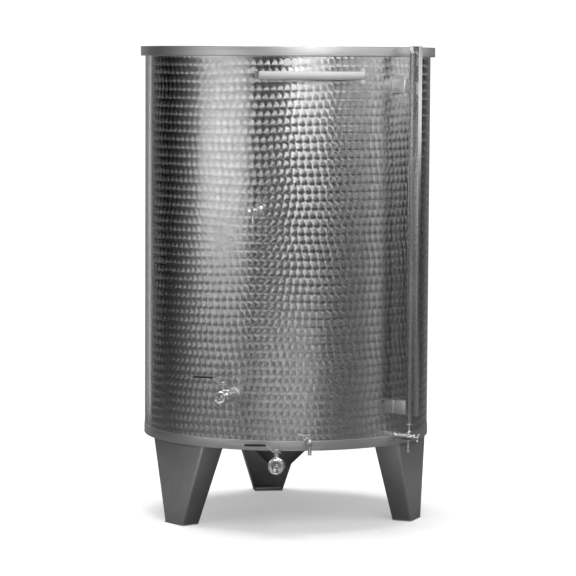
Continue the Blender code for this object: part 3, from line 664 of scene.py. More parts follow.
def make_clear_tube():
    """Clear plastic: seen through at its middle, and brighter along its edges."""
    material, tree, shader = new_material("clear_tube", (0.62, 0.63, 0.63), 0.10, 0.0)
    smudges = place_group(tree, GROUPS["smudges"], Scale=4.0)
    rough = add_share(tree, 0.06, smudges["Shade"], 0.06)
    tree.links.new(rough, shader.inputs["Roughness"])
    edge = tree.nodes.new("ShaderNodeLayerWeight")
    edge.inputs["Blend"].default_value = 0.3
    cover = add_share(tree, 0.12, edge.outputs["Facing"], 0.4)
    tree.links.new(cover, shader.inputs["Alpha"])
    return material


# Places of the fittings: angle, distance from the tank's axis, height
PARTIAL_OUTLET = fitting_place(-29.15, PARTIAL_OUTLET_DISTANCE, 0.523)
TOTAL_OUTLET = fitting_place(SUMP_ANGLE, TOTAL_OUTLET_DISTANCE, 0.2665)
TASTING_TAP = fitting_place(-19.7, SHELL_RADIUS + GAP, 1.212)
BAND_TAP = fitting_place(0.0, BAND_RADIUS + GAP, 0.3527)
GAUGE_TAP = fitting_place(GAUGE_ANGLE, BAND_RADIUS + GAP, 0.350)
GAUGE_TUBE = fitting_place(GAUGE_ANGLE, SHELL_RADIUS + 0.0672, 0.350)
TANK_SIDE = {angle: fitting_place(angle, 0, 0) for angle in (BAR_ANGLE, GAUGE_ANGLE, *LEG_ANGLES.values())}


# Tank

def make_shell():
    height = SHELL_TOP - SHELL_BOTTOM
    obj = start("tank_shell", "cylinder", vertices=ROUND, radius=SHELL_RADIUS, depth=height,
                end_fill_type="NOTHING", location=(0, 0, SHELL_BOTTOM + height / 2))
    modify(obj, "SOLIDIFY", thickness=SHELL_SHEET, offset=-1.0)
    pipe_low, pipe_high = box_in(PARTIAL_OUTLET, "partial_outlet_pipe")
    cutter = start("pipe_hole", "cylinder", vertices=48, radius=pipe_high.z + GAP, depth=40 * MM,
                   rotation=(0, math.radians(90), 0), location=(pipe_low.x, 0, 0))
    carry(cutter, PARTIAL_OUTLET)
    cut_with(obj, cutter)
    obj.data.materials.clear()
    obj.data.materials.append(FINISH["marbled"])
    obj.data.materials.append(FINISH["inside"])
    reopen(obj)
    pick(obj, "faces", lambda face: face.normal.x * face.calc_center_median().x
         + face.normal.y * face.calc_center_median().y < 0)
    obj.active_material_index = 1
    bpy.ops.object.material_slot_assign()
    finish_piece(obj, "marbled", ["shell_panel_{}".format(number + 1) for number in range(8)])


def round_section(name, corners, folds):
    """Sweeps a closed section round the tank. Corners are (distance, height), folds (distance, rounding)."""
    obj = trace(name, [(0, -distance, height) for distance, height in corners])
    bpy.ops.mesh.edge_face_add()
    for distance, rounding in folds:
        pick(obj, "verts", lambda vert: abs(vert.co.y + distance) < 0.1 * MM)
        bpy.ops.mesh.bevel(offset=rounding, segments=4, affect="VERTICES")
    bpy.ops.mesh.select_mode(type="FACE")
    bpy.ops.mesh.select_all(action="SELECT")
    bpy.ops.mesh.delete(type="ONLY_FACE")
    bpy.ops.mesh.select_mode(type="EDGE")
    bpy.ops.mesh.select_all(action="SELECT")
    spin(ROUND, (0, 0, 1))
    tidy_mesh()
    return obj


def make_rim():
    sheet = 1.5 * MM
    inner = SHELL_RADIUS - SHELL_SHEET
    lip = SHELL_RADIUS + GAP
    obj = round_section("top_rim", [
        (inner, RIM_TOP), (RIM_OUTER, RIM_TOP), (RIM_OUTER, RIM_BOTTOM), (lip, RIM_BOTTOM),
        (lip, RIM_BOTTOM + sheet), (RIM_OUTER - sheet, RIM_BOTTOM + sheet),
        (RIM_OUTER - sheet, RIM_TOP - sheet), (inner, RIM_TOP - sheet)],
        [(RIM_OUTER, 3.0 * MM), (RIM_OUTER - sheet, 1.5 * MM)])
    finish_piece(obj, "rim", ["top_rim_{}".format(number + 1) for number in range(4)])


def make_band():
    inner = SHELL_RADIUS + GAP
    obj = round_section("lower_band", [
        (inner, SHELL_BOTTOM), (BAND_RADIUS, SHELL_BOTTOM), (BAND_RADIUS, BAND_TOP), (inner, BAND_TOP)],
        [(BAND_RADIUS, 0.8 * MM)])
    finish_piece(obj, "band", ["base_band"])


def tilt_to_bottom():
    """Tilts what is selected, drawn level at the bottom's front height, to the bottom's slope."""
    bpy.ops.transform.rotate(value=-math.atan(BOTTOM_SLOPE), orient_axis="X",
                             center_override=(0, -SHELL_RADIUS, BOTTOM_FRONT))


def make_bottom():
    edge = SHELL_RADIUS - SHELL_SHEET - GAP
    obj = start("sloping_bottom", "circle", vertices=ROUND, radius=edge, location=(0, 0, BOTTOM_FRONT))
    bpy.ops.mesh.primitive_circle_add(vertices=64, radius=SUMP_RADIUS + GAP,
                                      location=polar(SUMP_ANGLE, SUMP_DISTANCE, BOTTOM_FRONT))
    pick_all()
    bpy.ops.mesh.bridge_edge_loops()
    pick_all()
    tilt_to_bottom()
    tidy_mesh()
    modify(obj, "SOLIDIFY", thickness=BOTTOM_SHEET, offset=1.0)
    finish_piece(obj, "bottom", ["tank_bottom"])


def make_sump():
    centre = polar(SUMP_ANGLE, SUMP_DISTANCE)
    obj = start("outlet_sump_pan", "circle", vertices=64, radius=SUMP_FLOOR_RADIUS, fill_type="NGON",
                location=(centre.x, centre.y, SUMP_FLOOR))
    extrude(z=BOTTOM_FRONT - SUMP_FLOOR)
    share = SUMP_RADIUS / SUMP_FLOOR_RADIUS
    bpy.ops.transform.resize(value=(share, share, 1), center_override=(centre.x, centre.y, BOTTOM_FRONT))
    tilt_to_bottom()
    bpy.ops.mesh.delete(type="ONLY_FACE")
    pick(obj, "edges", lambda edge: max(vert.co.z for vert in edge.verts) < SUMP_FLOOR + 1 * MM)
    round_edges(8 * MM, 4)
    tidy_mesh()
    modify(obj, "SOLIDIFY", thickness=BOTTOM_SHEET, offset=-1.0)
    finish_piece(obj, "bottom", ["outlet_sump"])


# Legs

def make_leg(side, angle):
    place = TANK_SIDE[angle]
    low, high = box_in(place, side + "_leg")
    foot_low, foot_high = box_in(place, side + "_foot")
    back = foot_low.x
    face, half, _ = foot_high
    outline = [(back, -half), (face, -half), (face, half), (back, half)]
    obj = trace(side + "_folded_leg", [(x, y, low.z) for x, y in outline])
    extrude(z=high.z + 5 * MM - low.z)
    bpy.ops.transform.resize(value=((LEG_TOP_FACE - LEG_TOP_BACK) / (face - back), high.y / half, 1),
                             center_override=(face, 0, high.z))
    bpy.ops.transform.translate(value=(LEG_TOP_FACE - face, 0, 0))
    pick(obj, "edges", lambda edge: abs(edge.verts[0].co.z - edge.verts[1].co.z) > 0.1
         and middle(edge).x > (back + face) / 2 + 0.02)
    round_edges(7 * MM, 5)
    modify(obj, "SOLIDIFY", thickness=LEG_SHEET, offset=-1.0, use_even_offset=True)
    carry(obj, place)
    reopen(obj)
    slope = Vector((0, -BOTTOM_SLOPE, 1)).normalized()
    bpy.ops.mesh.bisect(plane_co=(0, -SHELL_RADIUS, BOTTOM_FRONT - GAP), plane_no=slope, use_fill=True,
                        clear_outer=True)
    tidy_mesh()
    soften_edges(obj, 0.5 * MM)
    finish_piece(obj, "legs", [side + "_leg"])


def make_foot(side, angle):
    place = TANK_SIDE[angle]
    low, high = box_in(place, side + "_foot")
    plate = 4 * MM
    obj = start_block(side + "_foot_plate", (low.x, low.y, 0), (high.x, high.y, plate))
    soften_edges(obj, 1.2 * MM, 3)
    strip = start_block("strip", (low.x, low.y + 4 * MM, plate - 0.2 * MM),
                        (low.x + LEG_SHEET, high.y - 4 * MM, high.z))
    soften_edges(strip, 0.6 * MM)
    join(obj, strip)
    finish_piece(obj, "legs", [side + "_foot"], place)


# Straps that stand off the shell

def make_strap(name, node, angle, fold, material):
    place = TANK_SIDE[angle]
    low, high = box_in(place, node)
    half = high.y
    end = math.sqrt(SHELL_RADIUS ** 2 - (half - STRAP_SHEET) ** 2) + GAP
    outline = [(end, -half), (high.x, -half), (high.x, half), (end, half)]
    obj = fold_sheet(name, outline, low.z, high.z, fold, STRAP_SHEET)
    soften_edges(obj, 0.4 * MM)
    finish_piece(obj, material, [node], place)


def make_guard():
    """The folded channel that guards the level tube, open on one side."""
    place = TANK_SIDE[GAUGE_ANGLE]
    low, high = box_in(place, "gauge_guard")
    outline = [(high.x, low.y), (high.x, high.y), (low.x, high.y), (low.x, low.y)]
    obj = fold_sheet("tube_guard", outline, low.z, high.z, 2.2 * MM, 1.5 * MM)
    soften_edges(obj, 0.3 * MM)
    finish_piece(obj, "guard", ["gauge_guard"], place)


# Welds

def weld_ring(name, radius, bead, beads, along):
    """A ring of overlapping beads round a pipe, where it meets the sheet."""
    obj = start(name, "uv_sphere", segments=14, ring_count=8, radius=bead, location=(along, 0, radius))
    bpy.ops.transform.resize(value=(0.75, 1.3, 1.0), center_override=(along, 0, radius))
    spin(beads, (1, 0, 0), dupli=True)
    leave_edit(obj)
    return obj


def weld_line(name, begin, finish, bead):
    """A straight row of overlapping beads."""
    run = Vector(finish) - Vector(begin)
    count = max(2, round(run.length / bead))
    obj = start(name, "uv_sphere", segments=12, ring_count=6, radius=bead, location=begin)
    modify(obj, "ARRAY", count=count + 1, use_relative_offset=False, use_constant_offset=True,
           constant_offset_displace=run / count)
    return obj


def make_welds():
    """Beads round the outlet's pipe and along the straps, and the shell's upright weld, in one piece."""
    pipe_radius = box_in(PARTIAL_OUTLET, "partial_outlet_pipe")[1].z
    wall = SHELL_RADIUS - PARTIAL_OUTLET_DISTANCE
    ring = weld_ring("outlet_weld", pipe_radius + 1.0 * MM, 3.2 * MM, 34, wall - 0.4 * MM)
    carry(ring, PARTIAL_OUTLET)
    beads = [ring]
    for name, angle in (("label_bar", BAR_ANGLE), ("upper_gauge_bracket", GAUGE_ANGLE),
                        ("lower_gauge_bracket", GAUGE_ANGLE)):
        low, high = box_in(TANK_SIDE[angle], name)
        for side in (-1, 1):
            reach = high.y - STRAP_SHEET / 2
            foot = math.sqrt(SHELL_RADIUS ** 2 - reach ** 2) + 0.6 * MM
            line = weld_line("strap_weld", (foot, side * (high.y + 0.4 * MM), low.z + 1 * MM),
                             (foot, side * (high.y + 0.4 * MM), high.z - 1 * MM), 1.6 * MM)
            carry(line, TANK_SIDE[angle])
            beads.append(line)
    seam = start_block("upright_weld", (SHELL_RADIUS - 0.8 * MM, -2.5 * MM, BAND_TOP + 1 * MM),
                       (SHELL_RADIUS + 0.9 * MM, 2.5 * MM, RIM_BOTTOM - 1 * MM))
    soften_edges(seam, 0.8 * MM, 4)
    carry(seam, fitting_place(SEAM_ANGLE, 0, 0))
    obj = join(*beads, seam)
    obj.name = "weld_beads"
    finish_piece(obj, "polished")


# Ball valves

def thread_outline(end, mouth, depth, pitch, reach):
    """The inside of a threaded socket, from its mouth inwards, as (place along, radius)."""
    turns = int((depth - 2 * MM) / pitch)
    points = []
    for turn in range(turns):
        near = end - 2 * MM - turn * pitch
        points += [(near, mouth), (near - 0.35 * pitch, mouth + reach), (near - 0.65 * pitch, mouth + reach)]
    return points


def ball_arc(radius, begin, finish, steps):
    """A ball's outline as (place along, radius), from one place along its axis to another."""
    places = [begin + (finish - begin) * number / steps for number in range(steps + 1)]
    return [(along, math.sqrt(radius ** 2 - along ** 2)) for along in places]


def make_valve_body(prefix, place, ends, belly, socket, bore, ball, depth):
    """A body with two threaded sockets and a ball's chamber, and a neck with two stops for the lever."""
    end, _, plate_top = box_in(place, prefix + "_valve_body")[1]
    chamber = ball + 0.8 * MM
    seat = math.sqrt(chamber ** 2 - bore ** 2)
    groove = ends - 3.6 * MM
    barrel = ends - 2.0 * MM
    outside = [
        (0.0, belly), (0.010, belly), (0.0125, belly - 0.6 * MM), (0.0145, groove), (0.0185, groove),
        (0.0195, barrel), (end - 0.0135, barrel), (end - 0.0115, ends - 0.2 * MM), (end - 0.0100, ends),
        (end - 0.0022, ends), (end, barrel)]
    inside = [(end, socket + 1.6 * MM), (end - 1.6 * MM, socket)]
    inside += thread_outline(end, socket, depth, 2.309 * MM, 0.9 * MM)
    inside += [(end - depth, socket), (end - depth, bore + 3.5 * MM), (end - depth - 1.2 * MM, bore)]
    arc = ball_arc(chamber, seat, -seat, 14)
    mirrored = [(-along, radius) for along, radius in reversed(outside + inside)]
    obj = turned(prefix + "_body", outside + inside + arc + mirrored[:-1], 64, ring=True, soften=0.35 * MM)
    neck_low = belly - 2 * MM
    plate_low = plate_top - 2 * MM
    neck = turned(prefix + "_neck", [
        (neck_low, 0), (neck_low, 0.0125), (belly + 1.2 * MM, 0.0112), (belly + 2.6 * MM, 0.009),
        (plate_low, 0.009), (plate_low, 0.012), (plate_top, 0.012), (plate_top, 0)],
        48, upright=True)
    tabs = [neck]
    for turn in (20, 110):
        tab = start_block("stop_tab", (0.0105, -0.0028, plate_low), (0.0120, 0.0028, plate_top + 1.5 * MM))
        bpy.ops.transform.rotate(value=-math.radians(turn), orient_axis="Z", center_override=(0, 0, 0))
        soften_edges(tab, 0.4 * MM)
        tabs.append(tab)
    join(obj, *tabs)
    finish_piece(obj, "polished", [prefix + "_valve_body"], place)


def make_valve_ball(prefix, place, handle, ball, bore):
    face = math.sqrt(ball ** 2 - bore ** 2)
    obj = turned(prefix + "_bored_ball", ball_arc(ball, -face, face, 24), 64, ring=True, soften=0)
    reopen(obj)
    bpy.ops.transform.rotate(value=-math.radians(90), orient_axis="Z", center_override=(0, 0, 0))
    finish_piece(obj, "polished", [prefix + "_ball"], place, handle)


def make_valve_stem(prefix, place, handle):
    low, high = box_in(place, prefix + "_stem")
    lever_low = box_in(place, prefix + "_lever")[0].z + 6 * MM
    radius = 4.5 * MM
    outline = [(low.z, 0), (low.z, radius), (lever_low - 6.6 * MM, radius), (lever_low - 6.3 * MM, high.y),
               (lever_low - 3.0 * MM, high.y), (lever_low - 2.6 * MM, 6.6 * MM),
               (lever_low - 0.3 * MM, 6.6 * MM), (lever_low - 0.3 * MM, radius)]
    top = high.z + 3.2 * MM
    along = lever_low + 1 * MM
    while along < top - 1.2 * MM:
        outline += [(along, radius), (along + 0.4 * MM, radius - 0.45 * MM)]
        along += 1.0 * MM
    outline += [(top - 0.6 * MM, radius), (top, radius - 0.8 * MM), (top, 0)]
    obj = turned(prefix + "_spindle", outline, 32, upright=True, soften=0.12 * MM)
    finish_piece(obj, "polished", [prefix + "_stem"], place, handle)


def hex_nut(name, radius, bottom, height):
    obj = start(name, "cylinder", vertices=6, radius=radius, depth=height,
                location=(0, 0, bottom + height / 2))
    pick(obj, "edges", lambda edge: abs(edge.verts[0].co.z - edge.verts[1].co.z) > height / 2)
    round_edges(0.5 * MM, 2)
    pick(obj, "faces", lambda face: abs(face.normal.z) > 0.9)
    bpy.ops.mesh.inset(thickness=0.9 * MM)
    soften_edges(obj, 0.7 * MM, 2, 50)
    return obj


def make_valve_nut(prefix, place, handle):
    low, high = box_in(place, prefix + "_nut")
    obj = hex_nut(prefix + "_hex_nut", high.x, low.z, high.z - low.z)
    under, over = low.z - 0.2 * MM, low.z + 0.9 * MM
    washer = turned("washer", [(under, 0), (under, 8.6 * MM), (over, 8.6 * MM), (over, 0)], 32, upright=True)
    join(obj, washer)
    finish_piece(obj, "polished", [prefix + "_nut"], place, handle)


def make_valve_lever(prefix, place, handle):
    low, high = box_in(place, prefix + "_lever")
    sheet = 2.5 * MM
    lift = high.z - sheet / 2
    seat = low.z + 6 * MM + sheet / 2
    half = high.x
    heel = high.y - sheet / 2
    path = [(heel, low.z), (heel, seat), (-0.014, seat), (-0.040, lift), (low.y, lift)]
    obj = trace(prefix + "_bent_lever", [(-half, along, height) for along, height in path])
    extrude(x=2 * half)
    bends = path[1:4]
    pick(obj, "edges", lambda edge: abs(edge.verts[0].co.x - edge.verts[1].co.x) > half and any(
        math.dist(middle(edge)[1:], bend) < 0.2 * MM for bend in bends))
    round_edges(3.5 * MM, 5)
    pick(obj, "verts", lambda vert: abs(vert.co.y - low.y) < 0.1 * MM)
    bpy.ops.mesh.bevel(offset=6 * MM, segments=5, affect="VERTICES")
    modify(obj, "SOLIDIFY", thickness=sheet, offset=0.0, use_even_offset=True)
    soften_edges(obj, 0.5 * MM)
    finish_piece(obj, "bar", [prefix + "_lever"], place, handle)


def make_valve_grip(prefix, place, handle):
    """The dipped sleeve: a rounded flat tube, fuller at its tip, with a lip at its mouth."""
    low, high = box_in(place, prefix + "_grip")
    obj = start_block(prefix + "_sleeve", low, high)
    bpy.ops.mesh.subdivide(number_cuts=6)
    pick(obj, "verts", lambda vert: vert.co.y > high.y - 14 * MM)
    bpy.ops.transform.resize(value=(0.93, 1, 0.90), center_override=(0, 0, (low.z + high.z) / 2))
    pick(obj, "faces", lambda face: face.normal.y > 0.9)
    bpy.ops.mesh.delete(type="FACE")
    pick(obj, "edges", lambda edge: edge.is_boundary)
    extrude(y=0.2 * MM)
    bpy.ops.transform.resize(value=(1.05, 1, 1.12), center_override=(0, 0, (low.z + high.z) / 2))
    extrude(y=1.6 * MM)
    bpy.ops.mesh.edge_face_add()
    tidy_mesh()
    soften_edges(obj, 2.2 * MM, 4, 40)
    finish_piece(obj, "sleeve", [prefix + "_grip"], place, handle)


def make_pipe(prefix, place, start_along, radius):
    """The welded stub, with its reduced tip in the valve's socket."""
    end = box_in(place, prefix + "_pipe")[1].x
    mouth = box_in(place, prefix + "_valve_body")[0].x
    bore = radius - 2 * MM
    tip = radius - 3.2 * MM
    return turned(prefix + "_stub", [
        (start_along, radius), (mouth - 4 * MM, radius), (mouth - 0.3 * MM, radius - 1.2 * MM),
        (mouth - 0.3 * MM, tip), (end, tip), (end, bore - 2 * MM), (mouth - 6 * MM, bore),
        (start_along, bore)], 48, ring=True)


def make_partial_outlet():
    low = box_in(PARTIAL_OUTLET, "partial_outlet_pipe")[0]
    obj = make_pipe("partial_outlet", PARTIAL_OUTLET, low.x, 0.0212)
    finish_piece(obj, "polished", ["partial_outlet_pipe"], PARTIAL_OUTLET)
    make_valve("partial_outlet", PARTIAL_OUTLET)


def make_total_outlet():
    obj = make_pipe("total_outlet", TOTAL_OUTLET, SUMP_DISTANCE + 0.030 - TOTAL_OUTLET_DISTANCE, 0.02415)
    spread = (SUMP_RADIUS - SUMP_FLOOR_RADIUS) / (BOTTOM_FRONT - SUMP_FLOOR)
    rise = 0.12
    sump = start("sump_space", "cone", vertices=64, radius1=SUMP_FLOOR_RADIUS, depth=rise,
                 radius2=SUMP_FLOOR_RADIUS + rise * spread, location=(0, 0, SUMP_FLOOR + rise / 2))
    carry(sump, Matrix.Translation(polar(SUMP_ANGLE, SUMP_DISTANCE)))
    carry(sump, TOTAL_OUTLET.inverted())
    cut_with(obj, sump)
    finish_piece(obj, "polished", ["total_outlet_pipe"], TOTAL_OUTLET)
    make_valve("total_outlet", TOTAL_OUTLET)


def make_valve(prefix, place):
    """A ball valve. Its ball, stem, nut, lever and grip turn together."""
    sizes = VALVES[prefix]
    handle = prefix + "_handle"
    make_valve_body(prefix, place, **sizes)
    make_valve_ball(prefix, place, handle, sizes["ball"], sizes["bore"])
    make_valve_stem(prefix, place, handle)
    make_valve_nut(prefix, place, handle)
    make_valve_lever(prefix, place, handle)
    make_valve_grip(prefix, place, handle)


# Small taps

def knurled_ring(name, along, until, radius, teeth, depth):
    """A gripping ring with rounded teeth, round the fitting's X."""
    obj = start(name, "cylinder", vertices=teeth * 2, radius=radius, depth=until - along,
                rotation=(0, math.radians(90), 0), location=((along + until) / 2, 0, 0))

    def is_valley(vert):
        turn = math.atan2(vert.co.z, vert.co.y) / math.tau * teeth * 2
        return round(turn) % 2 == 1

    pick(obj, "verts", is_valley)
    share = 1 - depth / radius
    bpy.ops.transform.resize(value=(1, share, share), center_override=(0, 0, 0))
    soften_edges(obj, 0.35 * MM, 2, 20)
    return obj


def make_spout(name, node, place, body_radius):
    """A short pipe that hangs from a tap, with a rolled lip and a ring above it."""
    low, high = box_in(place, node)
    radius = (high.x - low.x) / 2
    top = -body_radius * 0.6
    outline = [(low.z + rise * MM, radius * share) for rise, share in (
        (0, 1), (1.6, 1), (2.2, 0.9), (6, 0.9), (6.6, 0.98), (8.4, 0.98), (9, 0.86))]
    outline += [(top - 6 * MM, radius * 0.86), (top, radius), (top, radius * 0.7), (low.z, radius * 0.7)]
    obj = turned(name, outline, 40, upright=True, ring=True)
    slide_out(obj, (low.x + high.x) / 2)
    finish_piece(obj, "polished", [node], place)


def make_tasting_tap():
    place = TASTING_TAP
    end, rosette, _ = box_in(place, "tasting_tap_body")[1]
    obj = turned("tasting_tap_barrel", [
        (0, 0), (0, rosette), (0.0012, rosette), (0.0032, rosette - 3 * MM), (0.0036, 0.0125), (0.006, 0.011),
        (0.044, 0.011), (0.046, 0.0125), (0.050, 0.0125), (0.050, 0.0100), (0.066, 0.0100), (0.066, 0.012),
        (0.070, 0.012), (0.0712, 0.0112), (0.0724, 0.012), (end - 2 * MM, 0.012), (end, 0.0105),
        (end, 0)], 48)
    collar = knurled_ring("collar", 0.0505, 0.0655, 0.0175, 28, 0.9 * MM)
    join(obj, collar)
    finish_piece(obj, "polished", ["tasting_tap_body"], place)
    make_spout("tasting_tap_nose", "tasting_tap_spout", place, 0.012)
    low, high = box_in(place, "tasting_tap_knob")
    knob = knurled_ring("tasting_tap_cap", low.x, high.x - 3 * MM, high.y, 20, 1.0 * MM)
    crown = turned("crown", [(high.x - 3.2 * MM, 0), (high.x - 3.2 * MM, 0.0125), (high.x - 1.2 * MM, 0.0115),
                             (high.x, 0.0085), (high.x, 0)], 40)
    join(knob, crown)
    finish_piece(knob, "polished", ["tasting_tap_knob"], place, "tasting_tap_handle")


def make_band_tap():
    place = BAND_TAP
    low, high = box_in(place, "band_tap_body")
    rosette = 0.013
    chest = 0.011
    spindle = 0.054
    obj = turned("band_tap_barrel", [
        (0, 0), (0, rosette), (0.001, rosette), (0.003, rosette - 2 * MM), (0.0034, 0.0102), (0.006, 0.009),
        (0.038, 0.009), (0.040, 0.0102), (0.0415, 0.0102), (0.043, chest), (high.x - 5 * MM, chest),
        (high.x - 2 * MM, chest - 2 * MM), (high.x, chest - 6 * MM), (high.x, 0)], 48)
    neck = turned("neck", [
        (0, 0), (0, 0.0092), (0.011, 0.0092), (0.013, 0.0065), (0.0155, 0.006), (0.0165, 0.0075),
        (0.0200, 0.0075), (0.0210, 0.006), (high.z, 0.006), (high.z, 0)], 40, upright=True)
    slide_out(neck, spindle)
    join(obj, neck)
    finish_piece(obj, "polished", ["band_tap_body"], place)
    make_spout("band_tap_nose", "band_tap_spout", place, chest)

    low, high = box_in(place, "band_tap_lever")
    hub_low = low.z
    hub_top = high.z - 2.3 * MM
    hub = start("band_tap_hub", "cylinder", vertices=12, radius=0.009, depth=hub_top - hub_low,
                location=(spindle, 0, (hub_low + hub_top) / 2))
    pick(hub, "verts", lambda vert: round(
        math.atan2(vert.co.y, vert.co.x - spindle) / math.tau * 12) % 2 == 1)
    bpy.ops.transform.resize(value=(0.74, 0.74, 1), center_override=(spindle, 0, hub_low))
    soften_edges(hub, 0.5 * MM, 2, 20)
    path = [(0.0, hub_low + 4.5 * MM), (-0.014, hub_low + 4.2 * MM), (-0.026, hub_low + 5.6 * MM),
            (-0.038, hub_low + 7.4 * MM), (low.y, hub_low + 8.2 * MM)]
    arm = trace("arm", [(spindle - 0.006, along, height) for along, height in path])
    extrude(x=0.012)
    pick(arm, "verts", lambda vert: vert.co.y > -0.008)
    bpy.ops.transform.resize(value=(0.7, 1, 1), center_override=(spindle, 0, 0))
    pick(arm, "verts", lambda vert: abs(vert.co.y - low.y) < 0.1 * MM)
    bpy.ops.mesh.bevel(offset=4 * MM, segments=5, affect="VERTICES")
    modify(arm, "SOLIDIFY", thickness=2.8 * MM, offset=0.0)
    soften_edges(arm, 0.8 * MM, 3, 40)
    join(hub, arm)
    finish_piece(hub, "polished", ["band_tap_lever"], place, "band_tap_handle")


def make_gauge_tap():
    place = GAUGE_TAP
    low, high = box_in(place, "gauge_tap_body")
    rosette = -low.z
    radius = 0.0125
    obj = turned("gauge_tap_barrel", [
        (0, 0), (0, rosette), (0.001, rosette), (0.003, rosette - 2 * MM), (0.0034, 0.0110), (0.006, 0.0090),
        (0.014, 0.0090), (0.015, 0.0115), (0.022, 0.0115), (0.023, 0.0095), (0.026, 0.0095), (0.0275, radius),
        (0.080, radius), (0.0815, 0.0110), (0.0845, 0.0110), (0.0860, radius), (0.0885, radius),
        (0.0905, 0.0080), (high.x - 1 * MM, 0.0075), (high.x, 0.0065), (high.x, 0)], 48)
    boss = turned("boss", [
        (0, 0), (0, 0.0095), (0.0115, 0.0095), (0.0125, 0.008), (0.020, 0.008), (0.0225, 0.0065),
        (0.024, 0.0062), (0.0245, 0.0030), (high.z, 0.0030), (high.z, 0)], 40, upright=True)
    slide_out(boss, (GAUGE_TUBE.translation - GAUGE_TAP.translation).length)
    join(obj, boss)
    finish_piece(obj, "polished", ["gauge_tap_body"], place)
    make_spout("gauge_tap_nose", "gauge_tap_spout", place, radius)

    low = box_in(place, "gauge_tap_knob")[0]
    hub_end = low.x + 0.014
    hub = turned("gauge_tap_wings", [
        (low.x, 0), (low.x, 0.0072), (low.x + 1.5 * MM, 0.008), (hub_end - 2 * MM, 0.0072), (hub_end, 0.005),
        (hub_end, 0)], 40)
    wing = trace("wing", [(low.x + along, 0, reach) for along, reach in (
        (0.003, 0.002), (0.0075, 0.017), (0.016, 0.017), (0.011, 0), (0.016, -0.017), (0.0075, -0.017),
        (0.003, -0.002))])
    bpy.ops.mesh.edge_face_add()
    pick(wing, "verts", lambda vert: abs(vert.co.z) > 0.016)
    bpy.ops.mesh.bevel(offset=3.2 * MM, segments=5, affect="VERTICES")
    pick_all()
    bpy.ops.transform.rotate(value=math.radians(25), orient_axis="X", center_override=(0, 0, 0))
    modify(wing, "SOLIDIFY", thickness=4 * MM, offset=0.0)
    soften_edges(wing, 1.1 * MM, 3, 40)
    join(hub, wing)
    finish_piece(hub, "polished", ["gauge_tap_knob"], place, "gauge_tap_handle")


def make_gauge_tube():
    place = GAUGE_TUBE
    low, high = box_in(place, "gauge_gland")
    gland = turned("tube_gland", [
        (low.z, 0), (low.z, high.x - 0.8 * MM), (low.z + 0.8 * MM, high.x), (high.z - 1.2 * MM, high.x),
        (high.z, high.x - 1.6 * MM), (high.z, 0)], 48, upright=True)
    finish_piece(gland, "polished", ["gauge_gland"], place)
    low, high = box_in(place, "gauge_tube")
    tube = turned("level_tube", [
        (low.z, high.x), (high.z, high.x), (high.z, high.x - 1.5 * MM), (low.z, high.x - 1.5 * MM)],
        40, upright=True, ring=True)
    finish_piece(tube, "tube", ["gauge_tube"], place)
    low, high = box_in(place, "gauge_tube_cap")
    cap = turned("tube_cap", [
        (low.z, 0), (low.z, high.x), (high.z - 3.5 * MM, high.x), (high.z - 1 * MM, high.x - 1.6 * MM),
        (high.z, high.x - 4 * MM), (high.z, 0)], 40, upright=True)
    finish_piece(cap, "polished", ["gauge_tube_cap"], place)


# Stage

def make_floor():
    obj = start("floor", "circle", vertices=128, radius=FLOOR_RADIUS, fill_type="NGON", location=(0, 0, 0))
    leave_edit(obj)
    material, tree, shader = new_material("floor_paint", (0.88, 0.88, 0.88), 0.9, 0.0)
    shader.inputs["Emission Color"].default_value = (1, 1, 1, 1)
    shader.inputs["Emission Strength"].default_value = FLOOR_GLOW
    dim = tree.nodes.new("ShaderNodeBsdfDiffuse")
    dim.inputs["Color"].default_value = (FLOOR_IN_STEEL, FLOOR_IN_STEEL, FLOOR_IN_STEEL, 1)
    mix = tree.nodes.new("ShaderNodeMixShader")
    tree.links.new(tree.nodes.new("ShaderNodeLightPath").outputs["Is Camera Ray"], mix.inputs[0])
    tree.links.new(dim.outputs[0], mix.inputs[1])
    tree.links.new(shader.outputs[0], mix.inputs[2])
    tree.links.new(mix.outputs[0], tree.nodes["Material Output"].inputs["Surface"])
    obj.data.materials.append(material)


def add_light(name, angle, distance, height, width, tall, power, tilt):
    """A soft box that faces the tank's axis, tilted down by a few degrees."""
    data = bpy.data.lights.new(name, "AREA")
    data.shape = "RECTANGLE"
    data.size = width
    data.size_y = tall
    data.energy = power
    light = bpy.data.objects.new(name, data)
    light.matrix_world = (Matrix.Translation(polar(angle, distance, height))
                          @ Matrix.Rotation(math.radians(angle), 4, "Z")
                          @ Matrix.Rotation(math.radians(90 - tilt), 4, "X"))
    bpy.context.scene.collection.objects.link(light)


